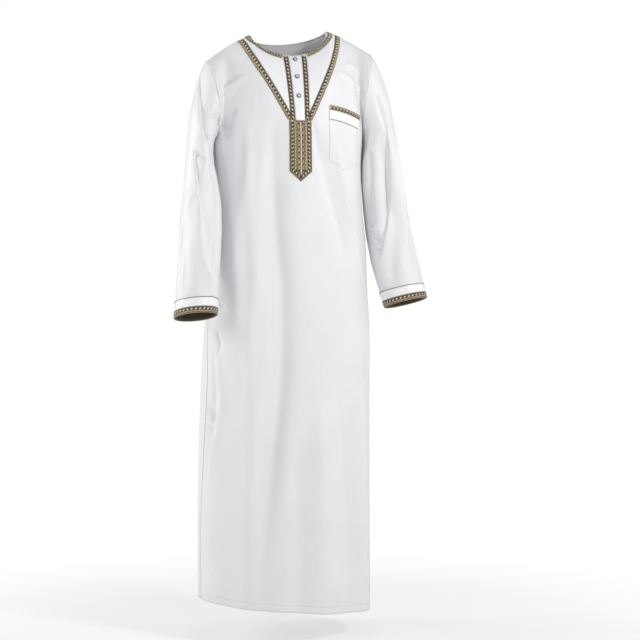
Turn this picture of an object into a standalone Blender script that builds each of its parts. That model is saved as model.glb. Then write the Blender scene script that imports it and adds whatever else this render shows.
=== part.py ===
"""Thobe robe: an ankle-length, collarless white robe in its worn, hollow form.

Metres, +Z up, the front faces -Y and +X is the wearer's left. The origin is
between the two shoulder points at the neck, where the wearer carries it.
"""

import bpy
import numpy as np
from mathutils import Vector
from mathutils.bvhtree import BVHTree

# Driving dimensions, in metres
GARMENT_LENGTH = 1.438     # shoulder point at the neck down to the hem
NECK_HALF = 0.098          # half width of the neck opening
NECK_DROP_FRONT = 0.0645
NECK_DROP_BACK = 0.016
NECK_FORWARD = 0.060       # front edge of the neck, forward of the shoulder line
NECK_BACKWARD = 0.066
SHOULDER_HALF = 0.213      # half width at the armhole seam on top
SHOULDER_DROP = 0.062
UNDERARM_DEPTH = 0.270     # height of the side seam's top below the origin
ARMHOLE_FRONT = 0.066      # how far the armhole reaches forward
ARMHOLE_BACK = 0.072
CLOTH = 0.0017             # wall of the cloth, seam allowances included
SEAM_GAP = 0.0003          # between neighbouring pieces
TRIM_GAP = 0.0005          # between a panel and what is sewn on it
TRIM_THICK = 0.0014
BRAID_NECK = 0.0115
BRAID_V = 0.0140
BRAID_PLACKET = 0.0110
BRAID_CUFF = 0.0140
CUFF_BAND = 0.0230
PLACKET_TOP_HALF = 0.0175
PLACKET_LOW_HALF = 0.0120
PLACKET_BOTTOM = -0.2385
PANEL_HALF = 0.0280
PANEL_SHOULDER = -0.3645
PANEL_TIP = -0.3890
BUTTON_RADIUS = 0.0058
BUTTON_THICK = 0.0024
BUTTON_GAP = 0.0008
NECK_POINTS = 10           # along each quarter of the neckline
INSET_END = -0.2080        # where the chest insets run out between the braids
TRIM_SEAM = 0.0004         # between two trims that meet
SEAM_SIDE = 0.5            # share of the neckline's first step at which the chest insets begin
CELL_PLACES = (0.0, 0.25, 0.5, 0.75, 1.0)  # where a trim's cell is held clear of the panel
CENTRE_X = 0.0015          # the placket hangs a little towards the wearer's left

NECK_CURVE = 1.30          # roundness of the fall from the neckline to the chest
SHOULDER_CURVE = 1.75      # and from the shoulder
LEAN_TOP = 0.095           # slope of the shoulder line: the wearer's right shoulder hangs low
LEAN_TOP_CENTRE = 0.053
LEAN_HEM = -0.088          # slope of the hem, which is high on that side
LEAN_HEM_CENTRE = -0.020
SEAM_TURN = 0.85           # share of the armhole's height from which its cloth turns into the side seam
UNDERARM_TURN = 0.35       # how pointed the armhole is at the underarm
SHOULDER_REACH = 0.25      # half height of the round over which the shoulders' outward direction turns up
NECK_SHARE = 0.32          # share of a panel's half width that ends on the neckline
FRONT_COLUMNS = 28
BACK_COLUMNS = 20
ROWS_UP = 10               # of both panels above the underarm, and a sleeve has twice as many sides
FRONT_ROWS_DOWN = 22
BACK_ROWS_DOWN = 18
SLEEVE_ROWS = 17

# Horizontal sections of the body below the underarm.
# z, half width, front depth, back depth, centre x, seam shift right (deg), seam shift left (deg)
SECTIONS = (
    (-0.270, 0.1940, 0.1240, 0.1180, 0.000, 0.0, 0.0),
    (-0.340, 0.1880, 0.1260, 0.1180, 0.000, 0.0, 0.0),
    (-0.430, 0.1880, 0.1250, 0.1120, 0.002, 0.0, 0.0),
    (-0.540, 0.1990, 0.1240, 0.1120, 0.004, 2.0, 0.0),
    (-0.650, 0.2040, 0.1260, 0.1200, 0.002, 5.0, 0.0),
    (-0.750, 0.2130, 0.1300, 0.1300, 0.000, 9.0, 1.0),
    (-0.880, 0.2160, 0.1400, 0.1400, -0.004, 14.0, 2.0),
    (-1.020, 0.2180, 0.1500, 0.1500, -0.007, 12.0, 2.0),
    (-1.230, 0.2195, 0.1640, 0.1620, -0.009, 6.0, 2.0),
    (-1.438, 0.2190, 0.1720, 0.1700, -0.008, 3.0, 2.0),
)

# Folds down the front: name, height above 0 (a ridge) or below 0 (a valley), half width,
# then the places that it passes as (x, z).
FRONT_FOLDS = (
    ("middle valley", -0.0085, 0.026, ((-0.055, -0.25), (-0.037, -0.35), (-0.032, -0.47), (-0.013, -0.58),
                                       (-0.008, -0.73), (-0.017, -0.87), (-0.040, -0.98), (-0.074, -1.22))),
    ("knee ridge", 0.0130, 0.034, ((0.062, -0.90), (0.054, -1.10), (0.050, -1.30), (0.049, -1.44))),
    ("chest valley", -0.0050, 0.020, ((0.040, -0.27), (0.082, -0.36), (0.103, -0.47), (0.116, -0.60))),
    ("left hip ridge", 0.0065, 0.018, ((0.084, -0.26), (0.097, -0.34), (0.114, -0.40), (0.140, -0.49),
                                       (0.167, -0.61))),
    ("right hip ridge", 0.0060, 0.017, ((-0.118, -0.30), (-0.140, -0.45), (-0.150, -0.62), (-0.146, -0.80))),
    ("right chest ridge", 0.0045, 0.016, ((-0.090, -0.28), (-0.100, -0.44), (-0.098, -0.60), (-0.092, -0.74))),
    ("right skirt ridge", 0.0080, 0.026, ((-0.118, -0.86), (-0.128, -1.05), (-0.134, -1.25), (-0.136, -1.44))),
    ("left skirt valley", -0.0070, 0.024, ((0.112, -0.88), (0.120, -1.06), (0.124, -1.26), (0.126, -1.44))),
    ("left skirt ridge", 0.0060, 0.020, ((0.158, -0.80), (0.164, -1.00), (0.168, -1.22), (0.170, -1.44))),
    ("low middle valley", -0.0060, 0.024, ((-0.010, -1.02), (-0.012, -1.20), (-0.014, -1.44))),
)
FOLD_FADE = 0.34           # share of a fold's length over which it rises from the cloth
BACK_FOLDS = (
    ("spine valley", -0.0080, 0.028, ((0.008, -0.24), (0.004, -0.42), (0.000, -0.62), (0.010, -0.84))),
    ("right blade ridge", 0.0060, 0.024, ((-0.098, -0.28), (-0.090, -0.44), (-0.074, -0.62), (-0.066, -0.80))),
    ("left blade ridge", 0.0055, 0.022, ((0.104, -0.26), (0.092, -0.42), (0.080, -0.60), (0.070, -0.76))),
    ("right back ridge", 0.0090, 0.028, ((-0.122, -0.88), (-0.118, -1.08), (-0.112, -1.28), (-0.110, -1.44))),
    ("middle back ridge", 0.0080, 0.026, ((0.020, -0.92), (0.014, -1.12), (0.006, -1.30), (0.000, -1.44))),
    ("left back ridge", 0.0090, 0.030, ((0.128, -0.86), (0.124, -1.06), (0.122, -1.26), (0.126, -1.44))),
    ("right back valley", -0.0070, 0.022, ((-0.052, -0.98), (-0.052, -1.20), (-0.050, -1.44))),
    ("left back valley", -0.0070, 0.022, ((0.072, -1.00), (0.068, -1.22), (0.066, -1.44))),
)

# Sleeve stations: outer line x, z; inner line x, z; forward centre; forward half depth; front lift.
SLEEVE_RIGHT = (
    (0.2130, -0.0620, 0.1940, -0.2700, 0.000, 0.068, 0.000),
    (0.2330, -0.0910, 0.1972, -0.2765, 0.002, 0.068, 0.000),
    (0.2430, -0.1300, 0.1975, -0.2860, 0.006, 0.066, 0.000),
    (0.2530, -0.1900, 0.1960, -0.3020, 0.014, 0.064, 0.000),
    (0.2610, -0.2600, 0.1925, -0.3300, 0.026, 0.060, 0.000),
    (0.2700, -0.3350, 0.1880, -0.3750, 0.041, 0.056, 0.000),
    (0.2800, -0.4250, 0.1840, -0.4400, 0.058, 0.053, 0.002),
    (0.2880, -0.5000, 0.1850, -0.5050, 0.071, 0.052, 0.005),
    (0.2960, -0.5800, 0.1910, -0.5800, 0.084, 0.050, 0.008),
    (0.3030, -0.6550, 0.1990, -0.6520, 0.098, 0.049, 0.010),
    (0.3090, -0.7236, 0.2050, -0.7180, 0.108, 0.051, 0.011),
)
SLEEVE_LEFT = (
    (0.2130, -0.0620, 0.1940, -0.2700, 0.000, 0.068, 0.000),
    (0.2400, -0.0860, 0.1972, -0.2765, 0.002, 0.068, 0.000),
    (0.2530, -0.1250, 0.1970, -0.2860, 0.004, 0.066, 0.000),
    (0.2640, -0.1850, 0.1955, -0.3020, 0.008, 0.064, 0.000),
    (0.2760, -0.2550, 0.1930, -0.3300, 0.013, 0.061, 0.000),
    (0.2890, -0.3300, 0.1915, -0.3750, 0.018, 0.058, 0.000),
    (0.3040, -0.4200, 0.1945, -0.4400, 0.022, 0.055, 0.002),
    (0.3160, -0.4950, 0.2010, -0.5100, 0.027, 0.055, 0.004),
    (0.3310, -0.5700, 0.2130, -0.5850, 0.036, 0.054, 0.006),
    (0.3440, -0.6350, 0.2320, -0.6550, 0.045, 0.053, 0.008),
    (0.3510, -0.6740, 0.2440, -0.6950, 0.052, 0.054, 0.009),
)
# Sleeve folds: angle at the top, angle at the end (0 is the outer line, 90 the front, 180 the inner
# line, 270 the back), where it starts and ends along the sleeve, half width (deg), height.
FOLDS_RIGHT = (
    (150.0, 60.0, 0.16, 0.44, 17.0, -0.0060),
    (118.0, 30.0, 0.24, 0.52, 16.0, 0.0055),
    (71.0, 76.0, 0.36, 0.68, 15.0, 0.0060),
    (80.0, 128.0, 0.66, 0.93, 15.0, 0.0055),
    (112.0, 104.0, 0.44, 0.78, 14.0, -0.0050),
    (30.0, 44.0, 0.56, 0.92, 16.0, -0.0045),
    (236.0, 292.0, 0.30, 0.58, 17.0, -0.0060),
    (252.0, 226.0, 0.55, 0.92, 16.0, 0.0055),
    (318.0, 306.0, 0.50, 0.88, 17.0, 0.0050),
)
FOLDS_LEFT = (
    (104.0, 92.0, 0.20, 0.66, 14.0, -0.0080),
    (92.0, 132.0, 0.64, 0.93, 15.0, -0.0070),
    (70.0, 62.0, 0.26, 0.72, 15.0, 0.0055),
    (132.0, 122.0, 0.34, 0.70, 14.0, 0.0045),
    (36.0, 52.0, 0.52, 0.90, 16.0, -0.0045),
    (240.0, 286.0, 0.28, 0.60, 17.0, -0.0060),
    (256.0, 232.0, 0.56, 0.92, 16.0, 0.0055),
    (322.0, 312.0, 0.46, 0.86, 17.0, 0.0050),
)

# Centre line of each V braid from the shoulder seam down, as (distance from the middle, z).
V_PATH = ((0.1260, -0.012), (0.1120, -0.052), (0.0940, -0.094), (0.0720, -0.138), (0.0480, -0.186),
          (0.0300, -0.222), (0.0215, -0.238))
# The pocket mouth falls towards the side: x, z of its upper edge.
POCKET_MOUTH = ((0.0800, -0.1960), (0.1060, -0.1985), (0.1320, -0.2030), (0.1560, -0.2085), (0.1745, -0.2133))
POCKET_BAND = 0.0250
POCKET_BRAID = 0.0110
POCKET_BOTTOM = -0.3330      # height of the patch's lower corners
POCKET_POINT = 0.0220        # drop from them to its middle
BUTTON_HEIGHTS = (-0.0800, -0.1260, -0.1760)


def smooth(t):
    t = np.clip(t, 0.0, 1.0)
    return t * t * (3.0 - 2.0 * t)


def from_table(z, rows, column, reach=0.03):
    """A column of a table that is ordered down the garment, read at height z and eased."""
    heights = -np.array([row[0] for row in rows])
    values = np.array([row[column] for row in rows])
    steps = np.linspace(-reach, reach, 7)
    return sum(np.interp(-z + step, heights, values) for step in steps) / len(steps)


def lean(x, z):
    """How far the lean of the shoulders and of the hem lifts a point."""
    top = 1.0 - smooth((-z - 0.15) / 0.45)
    hem = smooth((-z - 0.75) / 0.69)
    return LEAN_TOP * (x - LEAN_TOP_CENTRE) * top + LEAN_HEM * (x - LEAN_HEM_CENTRE) * hem


def ridge_height(x, z, folds):
    """How far the folds raise the cloth at x, z."""
    total = np.zeros_like(x)
    for name, height, half_width, places in folds:
        heights = [-place[1] for place in places]
        centre = from_table(z, [(place[1], place[0]) for place in places], 1, 0.04)
        fade = FOLD_FADE * (heights[-1] - heights[0])
        fade_in = smooth((-z - heights[0]) / fade + 0.3)
        fade_out = smooth((heights[-1] + z) / fade + 0.3)
        if heights[-1] >= GARMENT_LENGTH:
            fade_out = 1.0
        total = total + height * np.exp(-((x - centre) / half_width) ** 2) * fade_in * fade_out
    return total


def top_line(side, u):
    """The neckline and the shoulder seam of a panel: x, forward distance, z."""
    share = np.clip(np.abs(u) / NECK_SHARE, 0.0, 1.0)
    angle = share * np.pi / 2
    drop = NECK_DROP_FRONT if side > 0 else NECK_DROP_BACK
    forward = NECK_FORWARD if side > 0 else NECK_BACKWARD
    seam = np.clip((np.abs(u) - NECK_SHARE) / (1.0 - NECK_SHARE), 0.0, 1.0)
    x = np.sign(u) * (NECK_HALF * np.sin(angle) + (SHOULDER_HALF - NECK_HALF) * seam)
    z = -drop * np.cos(angle) ** 1.15 - SHOULDER_DROP * seam ** 1.3
    return x, forward * np.cos(angle), z


def ring(side, u, z):
    """A horizontal section of the body at height z: x and distance from the middle plane."""
    half = from_table(z, SECTIONS, 1)
    depth = from_table(z, SECTIONS, 2 if side > 0 else 3)
    middle = from_table(z, SECTIONS, 4)
    shift_right = np.radians(from_table(z, SECTIONS, 5))
    shift_left = np.radians(from_table(z, SECTIONS, 6))
    angle = u * np.pi / 2
    seam_shift = np.where(u < 0, shift_right, -shift_left) * np.abs(u)
    angle = angle + seam_shift * side
    cosine = np.cos(angle)
    other = from_table(z, SECTIONS, 3 if side > 0 else 2)
    reach = np.where(cosine < 0, other, depth)
    return middle + half * np.sin(angle), reach * np.sign(cosine) * np.abs(cosine) ** 0.94


def panel(side, u, v):
    """A point of the front (side 1) or back (side -1): v 0 to 1 above the underarm, 1 to 2 below it."""
    u, v = np.broadcast_arrays(np.asarray(u, float), np.asarray(v, float))
    up = np.clip(v, 0.0, 1.0)
    down = np.clip(v - 1.0, 0.0, 1.0)
    fall = (1.0 - np.cos(np.pi * up)) / 2
    top_x, top_y, top_z = top_line(side, u)
    z = top_z + (-UNDERARM_DEPTH - top_z) * fall - (GARMENT_LENGTH - UNDERARM_DEPTH) * down
    ring_x, ring_y = ring(side, u, np.minimum(z, -UNDERARM_DEPTH))
    x = top_x + (ring_x - top_x) * smooth(fall)
    curve = NECK_CURVE + (SHOULDER_CURVE - NECK_CURVE) * smooth(np.abs(u) / NECK_SHARE)
    depth = (1.0 - (1.0 - fall) ** curve) ** (1 / curve)
    y = top_y + (ring_y - top_y) * depth
    edge = smooth((np.abs(u) - 0.62) / 0.38)
    armhole = ARMHOLE_FRONT if side > 0 else ARMHOLE_BACK
    edge_y = armhole * np.sin(np.pi * up) ** (0.9 + UNDERARM_TURN * smooth(2.0 * up - 1.0))
    dip = -0.013 * np.sin(np.pi * up) ** 2 * np.sign(u)
    above = v < 1.0
    y = np.where(above, y + (edge_y - y) * edge, y)
    x = np.where(above, x + dip * edge, x)
    lift = ridge_height(x, z, FRONT_FOLDS if side > 0 else BACK_FOLDS)
    lift = lift * (1.0 - smooth((np.abs(u) - 0.80) / 0.20))
    out = outward(x, -side * y, z)
    point = np.stack([x, -side * y, z + lean(x, z)], axis=-1)
    return point + out * lift[..., None]


def outward(x, y, z):
    """The direction out of the robe at a point of its body, shared by the panels that meet there."""
    low = np.minimum(z, -UNDERARM_DEPTH)
    half = from_table(low, SECTIONS, 1)
    depth = from_table(low, SECTIONS, 2)
    rise = np.clip(z + UNDERARM_DEPTH, 0.0, None) / SHOULDER_REACH ** 2
    way = np.stack([x / half ** 2, y / depth ** 2, rise], axis=-1)
    return way / np.linalg.norm(way, axis=-1, keepdims=True)


def collection(name):
    made = bpy.data.collections.new(name)
    bpy.context.scene.collection.children.link(made)
    return made


def material(name, colour, roughness, metallic=0.0):
    made = bpy.data.materials.new(name)
    made.use_nodes = True
    shader = made.node_tree.nodes["Principled BSDF"]
    shader.inputs["Base Color"].default_value = (*colour, 1.0)
    shader.inputs["Roughness"].default_value = roughness
    shader.inputs["Metallic"].default_value = metallic
    return made


def split(a, b, c, d):
    """A four-sided face as two triangles, so that every reader cuts it the same way."""
    return [(a, b, c), (a, c, d)]


def grid_faces(rows, columns, closed, start=0, turned=False):
    faces = []
    for i in range(rows - 1):
        for j in range(columns if closed else columns - 1):
            right = (j + 1) % columns
            a, b = start + i * columns + j, start + (i + 1) * columns + j
            c, d = start + (i + 1) * columns + right, start + i * columns + right
            corners = (b, c, d, a) if not closed and 2 * j >= columns - 1 else (a, b, c, d)
            for triangle in split(*corners):
                faces.append(triangle[::-1] if turned else triangle)
    return faces


def wall(name, outer, inner, look, closed=False):
    """A solid between two grids of points; closed joins the last column to the first."""
    rows, columns = outer.shape[:2]
    points = [tuple(p) for grid in (outer, inner) for line in grid for p in line]
    layer = rows * columns
    faces = grid_faces(rows, columns, closed) + grid_faces(rows, columns, closed, layer, True)
    low = (rows - 1) * columns
    for j in range(columns if closed else columns - 1):
        right = (j + 1) % columns
        faces += split(j, right, layer + right, layer + j)
        faces += split(low + right, low + j, layer + low + j, layer + low + right)
    if not closed:
        for i in range(rows - 1):
            a, b = i * columns, (i + 1) * columns
            faces += split(b, a, layer + a, layer + b)
            a, b = a + columns - 1, b + columns - 1
            faces += split(a, b, layer + b, layer + a)
    return solid(name, points, faces, look)


def solid(name, points, faces, look):
    mesh = bpy.data.meshes.new(name)
    mesh.from_pydata(points, [], faces)
    mesh.update()
    if signed_volume(mesh) < 0:
        mesh.flip_normals()
    mesh.materials.append(look)
    mesh.shade_smooth()
    mesh.set_sharp_from_angle(angle=np.radians(40))
    made = bpy.data.objects.new(name, mesh)
    bpy.data.collections["thobe robe"].objects.link(made)
    return made


def signed_volume(mesh):
    mesh.calc_loop_triangles()
    total = 0.0
    for triangle in mesh.loop_triangles:
        a, b, c = (mesh.vertices[k].co for k in triangle.vertices)
        total += a.dot(b.cross(c))
    return total


def panel_rows(rows_down, start=0.0):
    return np.concatenate([np.linspace(start, 1.0, ROWS_UP + 1),
                           1.0 + np.linspace(0.0, 1.0, rows_down + 1)[1:]])


def body_panel(name, side, columns, rows_down, look):
    """The front or back: its outer points and the same points moved in by the cloth."""
    edge = 1.0 - SEAM_GAP / 2 / SHOULDER_HALF
    u = np.linspace(-edge, edge, columns + 1)
    outer = panel(side, u[None, :], panel_rows(rows_down)[:, None])
    outer[0, :, 1] -= side * SEAM_GAP / 2
    outer[:, (0, -1), 1] -= side * SEAM_GAP / 2
    return wall(name, outer, outer - panel_ways(side, outer, panel_rows(rows_down)) * CLOTH, look)


def panel_ways(side, grid, v):
    """The way out of the cloth at each point of a panel: its own inside the panel, the body's at the seams
    two panels share, and between the two at an armhole, where the cloth turns from the body's."""
    a, b, c, d = grid[:-1, :-1], grid[1:, :-1], grid[1:, 1:], grid[:-1, 1:]
    own = np.zeros_like(grid)
    for second, third, corner in ((b, c, (1, 0)), (c, d, (0, 1))):
        normal = side * np.cross(second - a, third - a)
        normal = normal / np.linalg.norm(normal, axis=-1, keepdims=True)
        for down, across in ((0, 0), (1, 1), corner):
            own[down:down + len(a), across:across + a.shape[1]] += normal
    own = own / np.linalg.norm(own, axis=-1, keepdims=True)
    body = outward(grid[..., 0], grid[..., 1], grid[..., 2])
    armhole_share = smooth(v / 0.25) * (1.0 - smooth((v - SEAM_TURN) / 0.15))
    way = body + own * armhole_share[:, None, None]
    way[1:-1, 1:-1] = own[1:-1, 1:-1]
    return way / np.linalg.norm(way, axis=-1, keepdims=True)


def body_surface():
    """The outer faces of both panels, on which the trims are laid."""
    points, faces = [], []
    for side, columns, rows_down in ((1, FRONT_COLUMNS, FRONT_ROWS_DOWN), (-1, BACK_COLUMNS, BACK_ROWS_DOWN)):
        u = np.linspace(-1.0, 1.0, columns + 1)
        grid = panel(side, u[None, :], panel_rows(rows_down)[:, None])
        faces += grid_faces(*grid.shape[:2], False, len(points))
        points += [tuple(p) for line in grid for p in line]
    return BVHTree.FromPolygons(points, faces)


def sleeve_lengths(table):
    """How far along the sleeve each station lies, from 0 at the armhole to 1 at the cuff."""
    middle = [((row[0] + row[2]) / 2, (row[1] + row[3]) / 2, row[4]) for row in table]
    steps = [0.0] + [np.linalg.norm(np.subtract(b, a)) for a, b in zip(middle, middle[1:])]
    return np.cumsum(steps) / sum(steps), sum(steps)


def sleeve_point(hand, table, folds, s, angle):
    """A point of a sleeve (hand 1 is the wearer's left): s along it, angle round it from the outer line."""
    s, angle = np.broadcast_arrays(np.asarray(s, float), np.asarray(angle, float))
    places, _ = sleeve_lengths(table)
    reach = 0.025 * smooth(s / 0.1) * smooth((1.0 - s) / 0.1)
    steps = np.linspace(-1.0, 1.0, 5)
    out_x, out_z, in_x, in_z, forward, half, lift = (
        sum(np.interp(s + step * reach, places, [row[column] for row in table]) for step in steps) / len(steps)
        for column in range(7))
    cosine, sine = np.cos(angle), np.sin(angle)
    x = hand * ((out_x + in_x) / 2 + (out_x - in_x) / 2 * cosine)
    z = (out_z + in_z) / 2 + (out_z - in_z) / 2 * cosine + lift * sine
    point = np.stack([x, -(forward + half * sine), z + lean(x, z)], axis=-1)
    start = smooth(s / 0.16)[..., None]
    point = armhole(hand, angle) * (1.0 - start) + point * start
    middle_x, middle_z = hand * (out_x + in_x) / 2, (out_z + in_z) / 2
    middle = np.stack([middle_x, -forward, middle_z + lean(middle_x, middle_z)], axis=-1)
    way = point - middle
    way = way / np.linalg.norm(way, axis=-1, keepdims=True)
    height = np.zeros_like(s)
    for first, last, begin, end, width, rise in folds:
        along = (s - begin) / (end - begin)
        turn = (np.degrees(angle) - first - (last - first) * np.clip(along, 0.0, 1.0) + 180.0) % 360.0 - 180.0
        ends = smooth((along + 0.1) * 3) * smooth((1.1 - along) * 3)
        height = height + rise * np.exp(-(turn / width) ** 2) * ends
    return point + way * height[..., None], way


def armhole(hand, angle):
    """The seam line of an armhole, once round from the shoulder point by the front."""
    share = angle / np.pi
    front = panel(1, hand, np.clip(share, 0.0, 1.0))
    back = panel(-1, hand, np.clip(2.0 - share, 0.0, 1.0))
    return np.where((share <= 1.0)[..., None], front, back)


def sleeve(name, hand, table, folds, looks):
    """A sleeve with the bright band and the braid sewn round its cuff."""
    angles = np.pi / ROWS_UP * np.arange(2 * ROWS_UP)
    _, length = sleeve_lengths(table)
    braid_top = 1.0 - BRAID_CUFF / length
    band_low = braid_top - SEAM_GAP / length
    band_top = band_low - CUFF_BAND / length
    rows = np.concatenate([np.linspace(0.0, 1.0, SLEEVE_ROWS) ** 1.15 * band_top,
                           [(band_top + band_low) / 2, braid_top, 1.0]])
    outer, way = sleeve_point(hand, table, folds, rows[:, None], angles[None, :])
    outer[0, :, 0] += hand * SEAM_GAP
    wall("sleeve_" + name, outer, outer - way * CLOTH, looks["white"], closed=True)
    for piece, places, look in (("cuff_band_", (band_top, (band_top + band_low) / 2, band_low), "bright"),
                                ("cuff_braid_", (braid_top, (braid_top + 1.0) / 2, 1.0), "braid")):
        surface, way = sleeve_point(hand, table, folds, np.array(places)[:, None], angles[None, :])
        wall(piece + name, surface + way * (TRIM_GAP + TRIM_THICK), surface + way * TRIM_GAP,
             looks[look], closed=True)


def seated(surface, point):
    """The nearest place on the body's outer faces, looking straight in, and the way out there."""
    out = Vector(outward(*(np.array(value) for value in point)))
    start = Vector(point) + out * 0.02
    place = surface.ray_cast(start, -out, 0.06)[0]
    if place is None:
        place = surface.find_nearest(start)[0]
    return place, out


def on_front(surface, x, z):
    """The place on the front that lies at x, z as seen from straight ahead."""
    place = surface.ray_cast(Vector((x, -1.0, z)), Vector((0.0, 1.0, 0.0)))[0]
    if place is None:
        place = surface.find_nearest(Vector((x, -0.02, z)))[0]
    return tuple(place)


def clearance(surface, corners, outs):
    """How far the faces of the body stand through a flat cell between its four corners."""
    most = 0.0
    for across in CELL_PLACES:
        for along in CELL_PLACES:
            weights = ((1 - across) * (1 - along), across * (1 - along), across * along, (1 - across) * along)
            point = sum((corner * weight for corner, weight in zip(corners, weights)), Vector())
            out = sum((way * weight for way, weight in zip(outs, weights)), Vector()).normalized()
            place = surface.ray_cast(point + out * 0.01, -out, 0.02)[0]
            if place is not None:
                most = max(most, (place - point).dot(out))
    return most


def trim(name, surface, first, second, across, look):
    """A flat piece sewn on the body between two lines of points."""
    shares = np.linspace(0.0, 1.0, across + 1)
    seats = [[seated(surface, tuple(np.array(a) * (1.0 - share) + np.array(b) * share)) for share in shares]
             for a, b in zip(first, second)]
    lifts = np.zeros((len(seats), across + 1))
    for i in range(len(seats) - 1):
        for j in range(across):
            cell = ((i, j), (i, j + 1), (i + 1, j + 1), (i + 1, j))
            most = clearance(surface, [seats[m][n][0] for m, n in cell], [seats[m][n][1] for m, n in cell])
            for m, n in cell:
                lifts[m, n] = max(lifts[m, n], most * 1.5)
    inner, outer = (
        np.array([[tuple(place + out * (lifts[i, j] + height)) for j, (place, out) in enumerate(line)]
                  for i, line in enumerate(seats)])
        for height in (TRIM_GAP, TRIM_GAP + TRIM_THICK))
    return wall(name, outer, inner, look)


def resample(points, count):
    """The same line with evenly spaced points."""
    points = np.array(points, float)
    lengths = np.concatenate([[0.0], np.cumsum(np.linalg.norm(np.diff(points, axis=0), axis=1))])
    places = np.linspace(0.0, lengths[-1], count)
    return np.stack([np.interp(places, lengths, points[:, k]) for k in range(points.shape[1])], axis=1)


def beside(points, distance):
    """A line in x, z moved to its right-hand side as it is followed."""
    points = np.array(points, float)
    along = np.gradient(points, axis=0)
    along /= np.linalg.norm(along, axis=1, keepdims=True)
    return points + distance * np.stack([along[:, 1], -along[:, 0]], axis=1)


def placket_edge(z, outer):
    """Distance from the middle of the inner or outer edge of the braids beside the placket."""
    share = np.clip((z + NECK_DROP_FRONT) / (PLACKET_BOTTOM + NECK_DROP_FRONT), 0.0, 1.0)
    edge = PLACKET_TOP_HALF + (PLACKET_LOW_HALF - PLACKET_TOP_HALF) * share + SEAM_GAP
    return edge + BRAID_PLACKET if outer else edge


def placket_heights(hand):
    """Heights down one side of the placket, from the neckline there."""
    top = -NECK_DROP_FRONT + lean(CENTRE_X + hand * PLACKET_TOP_HALF, -NECK_DROP_FRONT) - 0.0015
    return np.linspace(top, PLACKET_BOTTOM, 16)


def front_line(surface, places):
    return [on_front(surface, x, z) for x, z in places]


def neck_line(distance):
    """The neckline once round, from beside the placket over the back, moved out by a distance."""
    gap = placket_edge(-NECK_DROP_FRONT, True) + SEAM_GAP
    start = NECK_SHARE * 2 / np.pi * np.arcsin((gap + CENTRE_X) / NECK_HALF)
    end = NECK_SHARE * 2 / np.pi * np.arcsin((gap - CENTRE_X) / NECK_HALF)
    front_left = panel(1, np.linspace(start, NECK_SHARE, NECK_POINTS), 0.0)
    back = panel(-1, np.linspace(NECK_SHARE, -NECK_SHARE, 2 * NECK_POINTS - 1), 0.0)
    front_right = panel(1, np.linspace(-NECK_SHARE, -end, NECK_POINTS), 0.0)
    points = np.concatenate([front_left, back[1:], front_right[1:]])
    along = np.gradient(points, axis=0)
    out = outward(points[:, 0], points[:, 1], points[:, 2])
    away = np.cross(along, out)
    away /= np.linalg.norm(away, axis=1, keepdims=True)
    sign = 1.0 if away[0] @ np.array([0.0, 0.0, 1.0]) < 0 else -1.0
    return points + away * sign * distance


def v_edges(surface, hand):
    """The outer and inner edge of one V braid, from the shoulder seam to the chest panel."""
    centre = resample(V_PATH, 22)
    centre[:, 1] += lean(hand * centre[:, 0] + CENTRE_X, centre[:, 1]) * centre[:, 0] / V_PATH[0][0]
    side = beside(centre, BRAID_V / 2)
    other = beside(centre, -BRAID_V / 2)
    outer, inner = (side, other) if side[0, 0] > other[0, 0] else (other, side)
    inner[:, 0] = np.maximum(inner[:, 0], placket_edge(inner[:, 1], True) + SEAM_GAP)
    outer[-1, 1] = inner[-1, 1] = PLACKET_BOTTOM
    outer[-1, 0] = PANEL_HALF
    lines = []
    for edge in (outer, inner):
        edge[:, 0] = edge[:, 0] * hand + CENTRE_X
        lines.append(edge)
    return lines


def chest_trims(surface, looks):
    """Everything sewn on round the neck opening and down the chest."""
    trim("neck_braid", surface, neck_line(0.0002), neck_line(BRAID_NECK), 2, looks["braid"])
    heights = {hand: placket_heights(hand) for hand in (-1, 1)}
    sides = [front_line(surface, zip(CENTRE_X + hand * (placket_edge(rows, False) - SEAM_GAP), rows))
             for hand, rows in heights.items()]
    placket = trim("placket", surface, sides[0], sides[1], 2, looks["bright"])
    buttons(placket, looks["snap"])
    for name, hand in (("right", -1), ("left", 1)):
        rows = heights[hand]
        trim("placket_braid_" + name, surface,
             front_line(surface, zip(CENTRE_X + hand * placket_edge(rows, False), rows)),
             front_line(surface, zip(CENTRE_X + hand * placket_edge(rows, True), rows)), 1, looks["braid"])
        outer, inner = v_edges(surface, hand)
        trim("v_braid_" + name, surface, front_line(surface, outer), front_line(surface, inner),
             1, looks["braid"])
        chest_inset(name, hand, surface, inner, looks["bright"])
    rows = np.concatenate([np.linspace(PLACKET_BOTTOM - SEAM_GAP, PANEL_SHOULDER, 12),
                           np.linspace(PANEL_SHOULDER, PANEL_TIP, 4)[1:]])
    taper = np.clip((rows - PANEL_TIP) / (PANEL_SHOULDER - PANEL_TIP), 0.03, 1.0)
    trim("chest_panel", surface,
         front_line(surface, zip(CENTRE_X - PANEL_HALF * taper, rows)),
         front_line(surface, zip(CENTRE_X + PANEL_HALF * taper, rows)), 4, looks["braid"])


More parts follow.
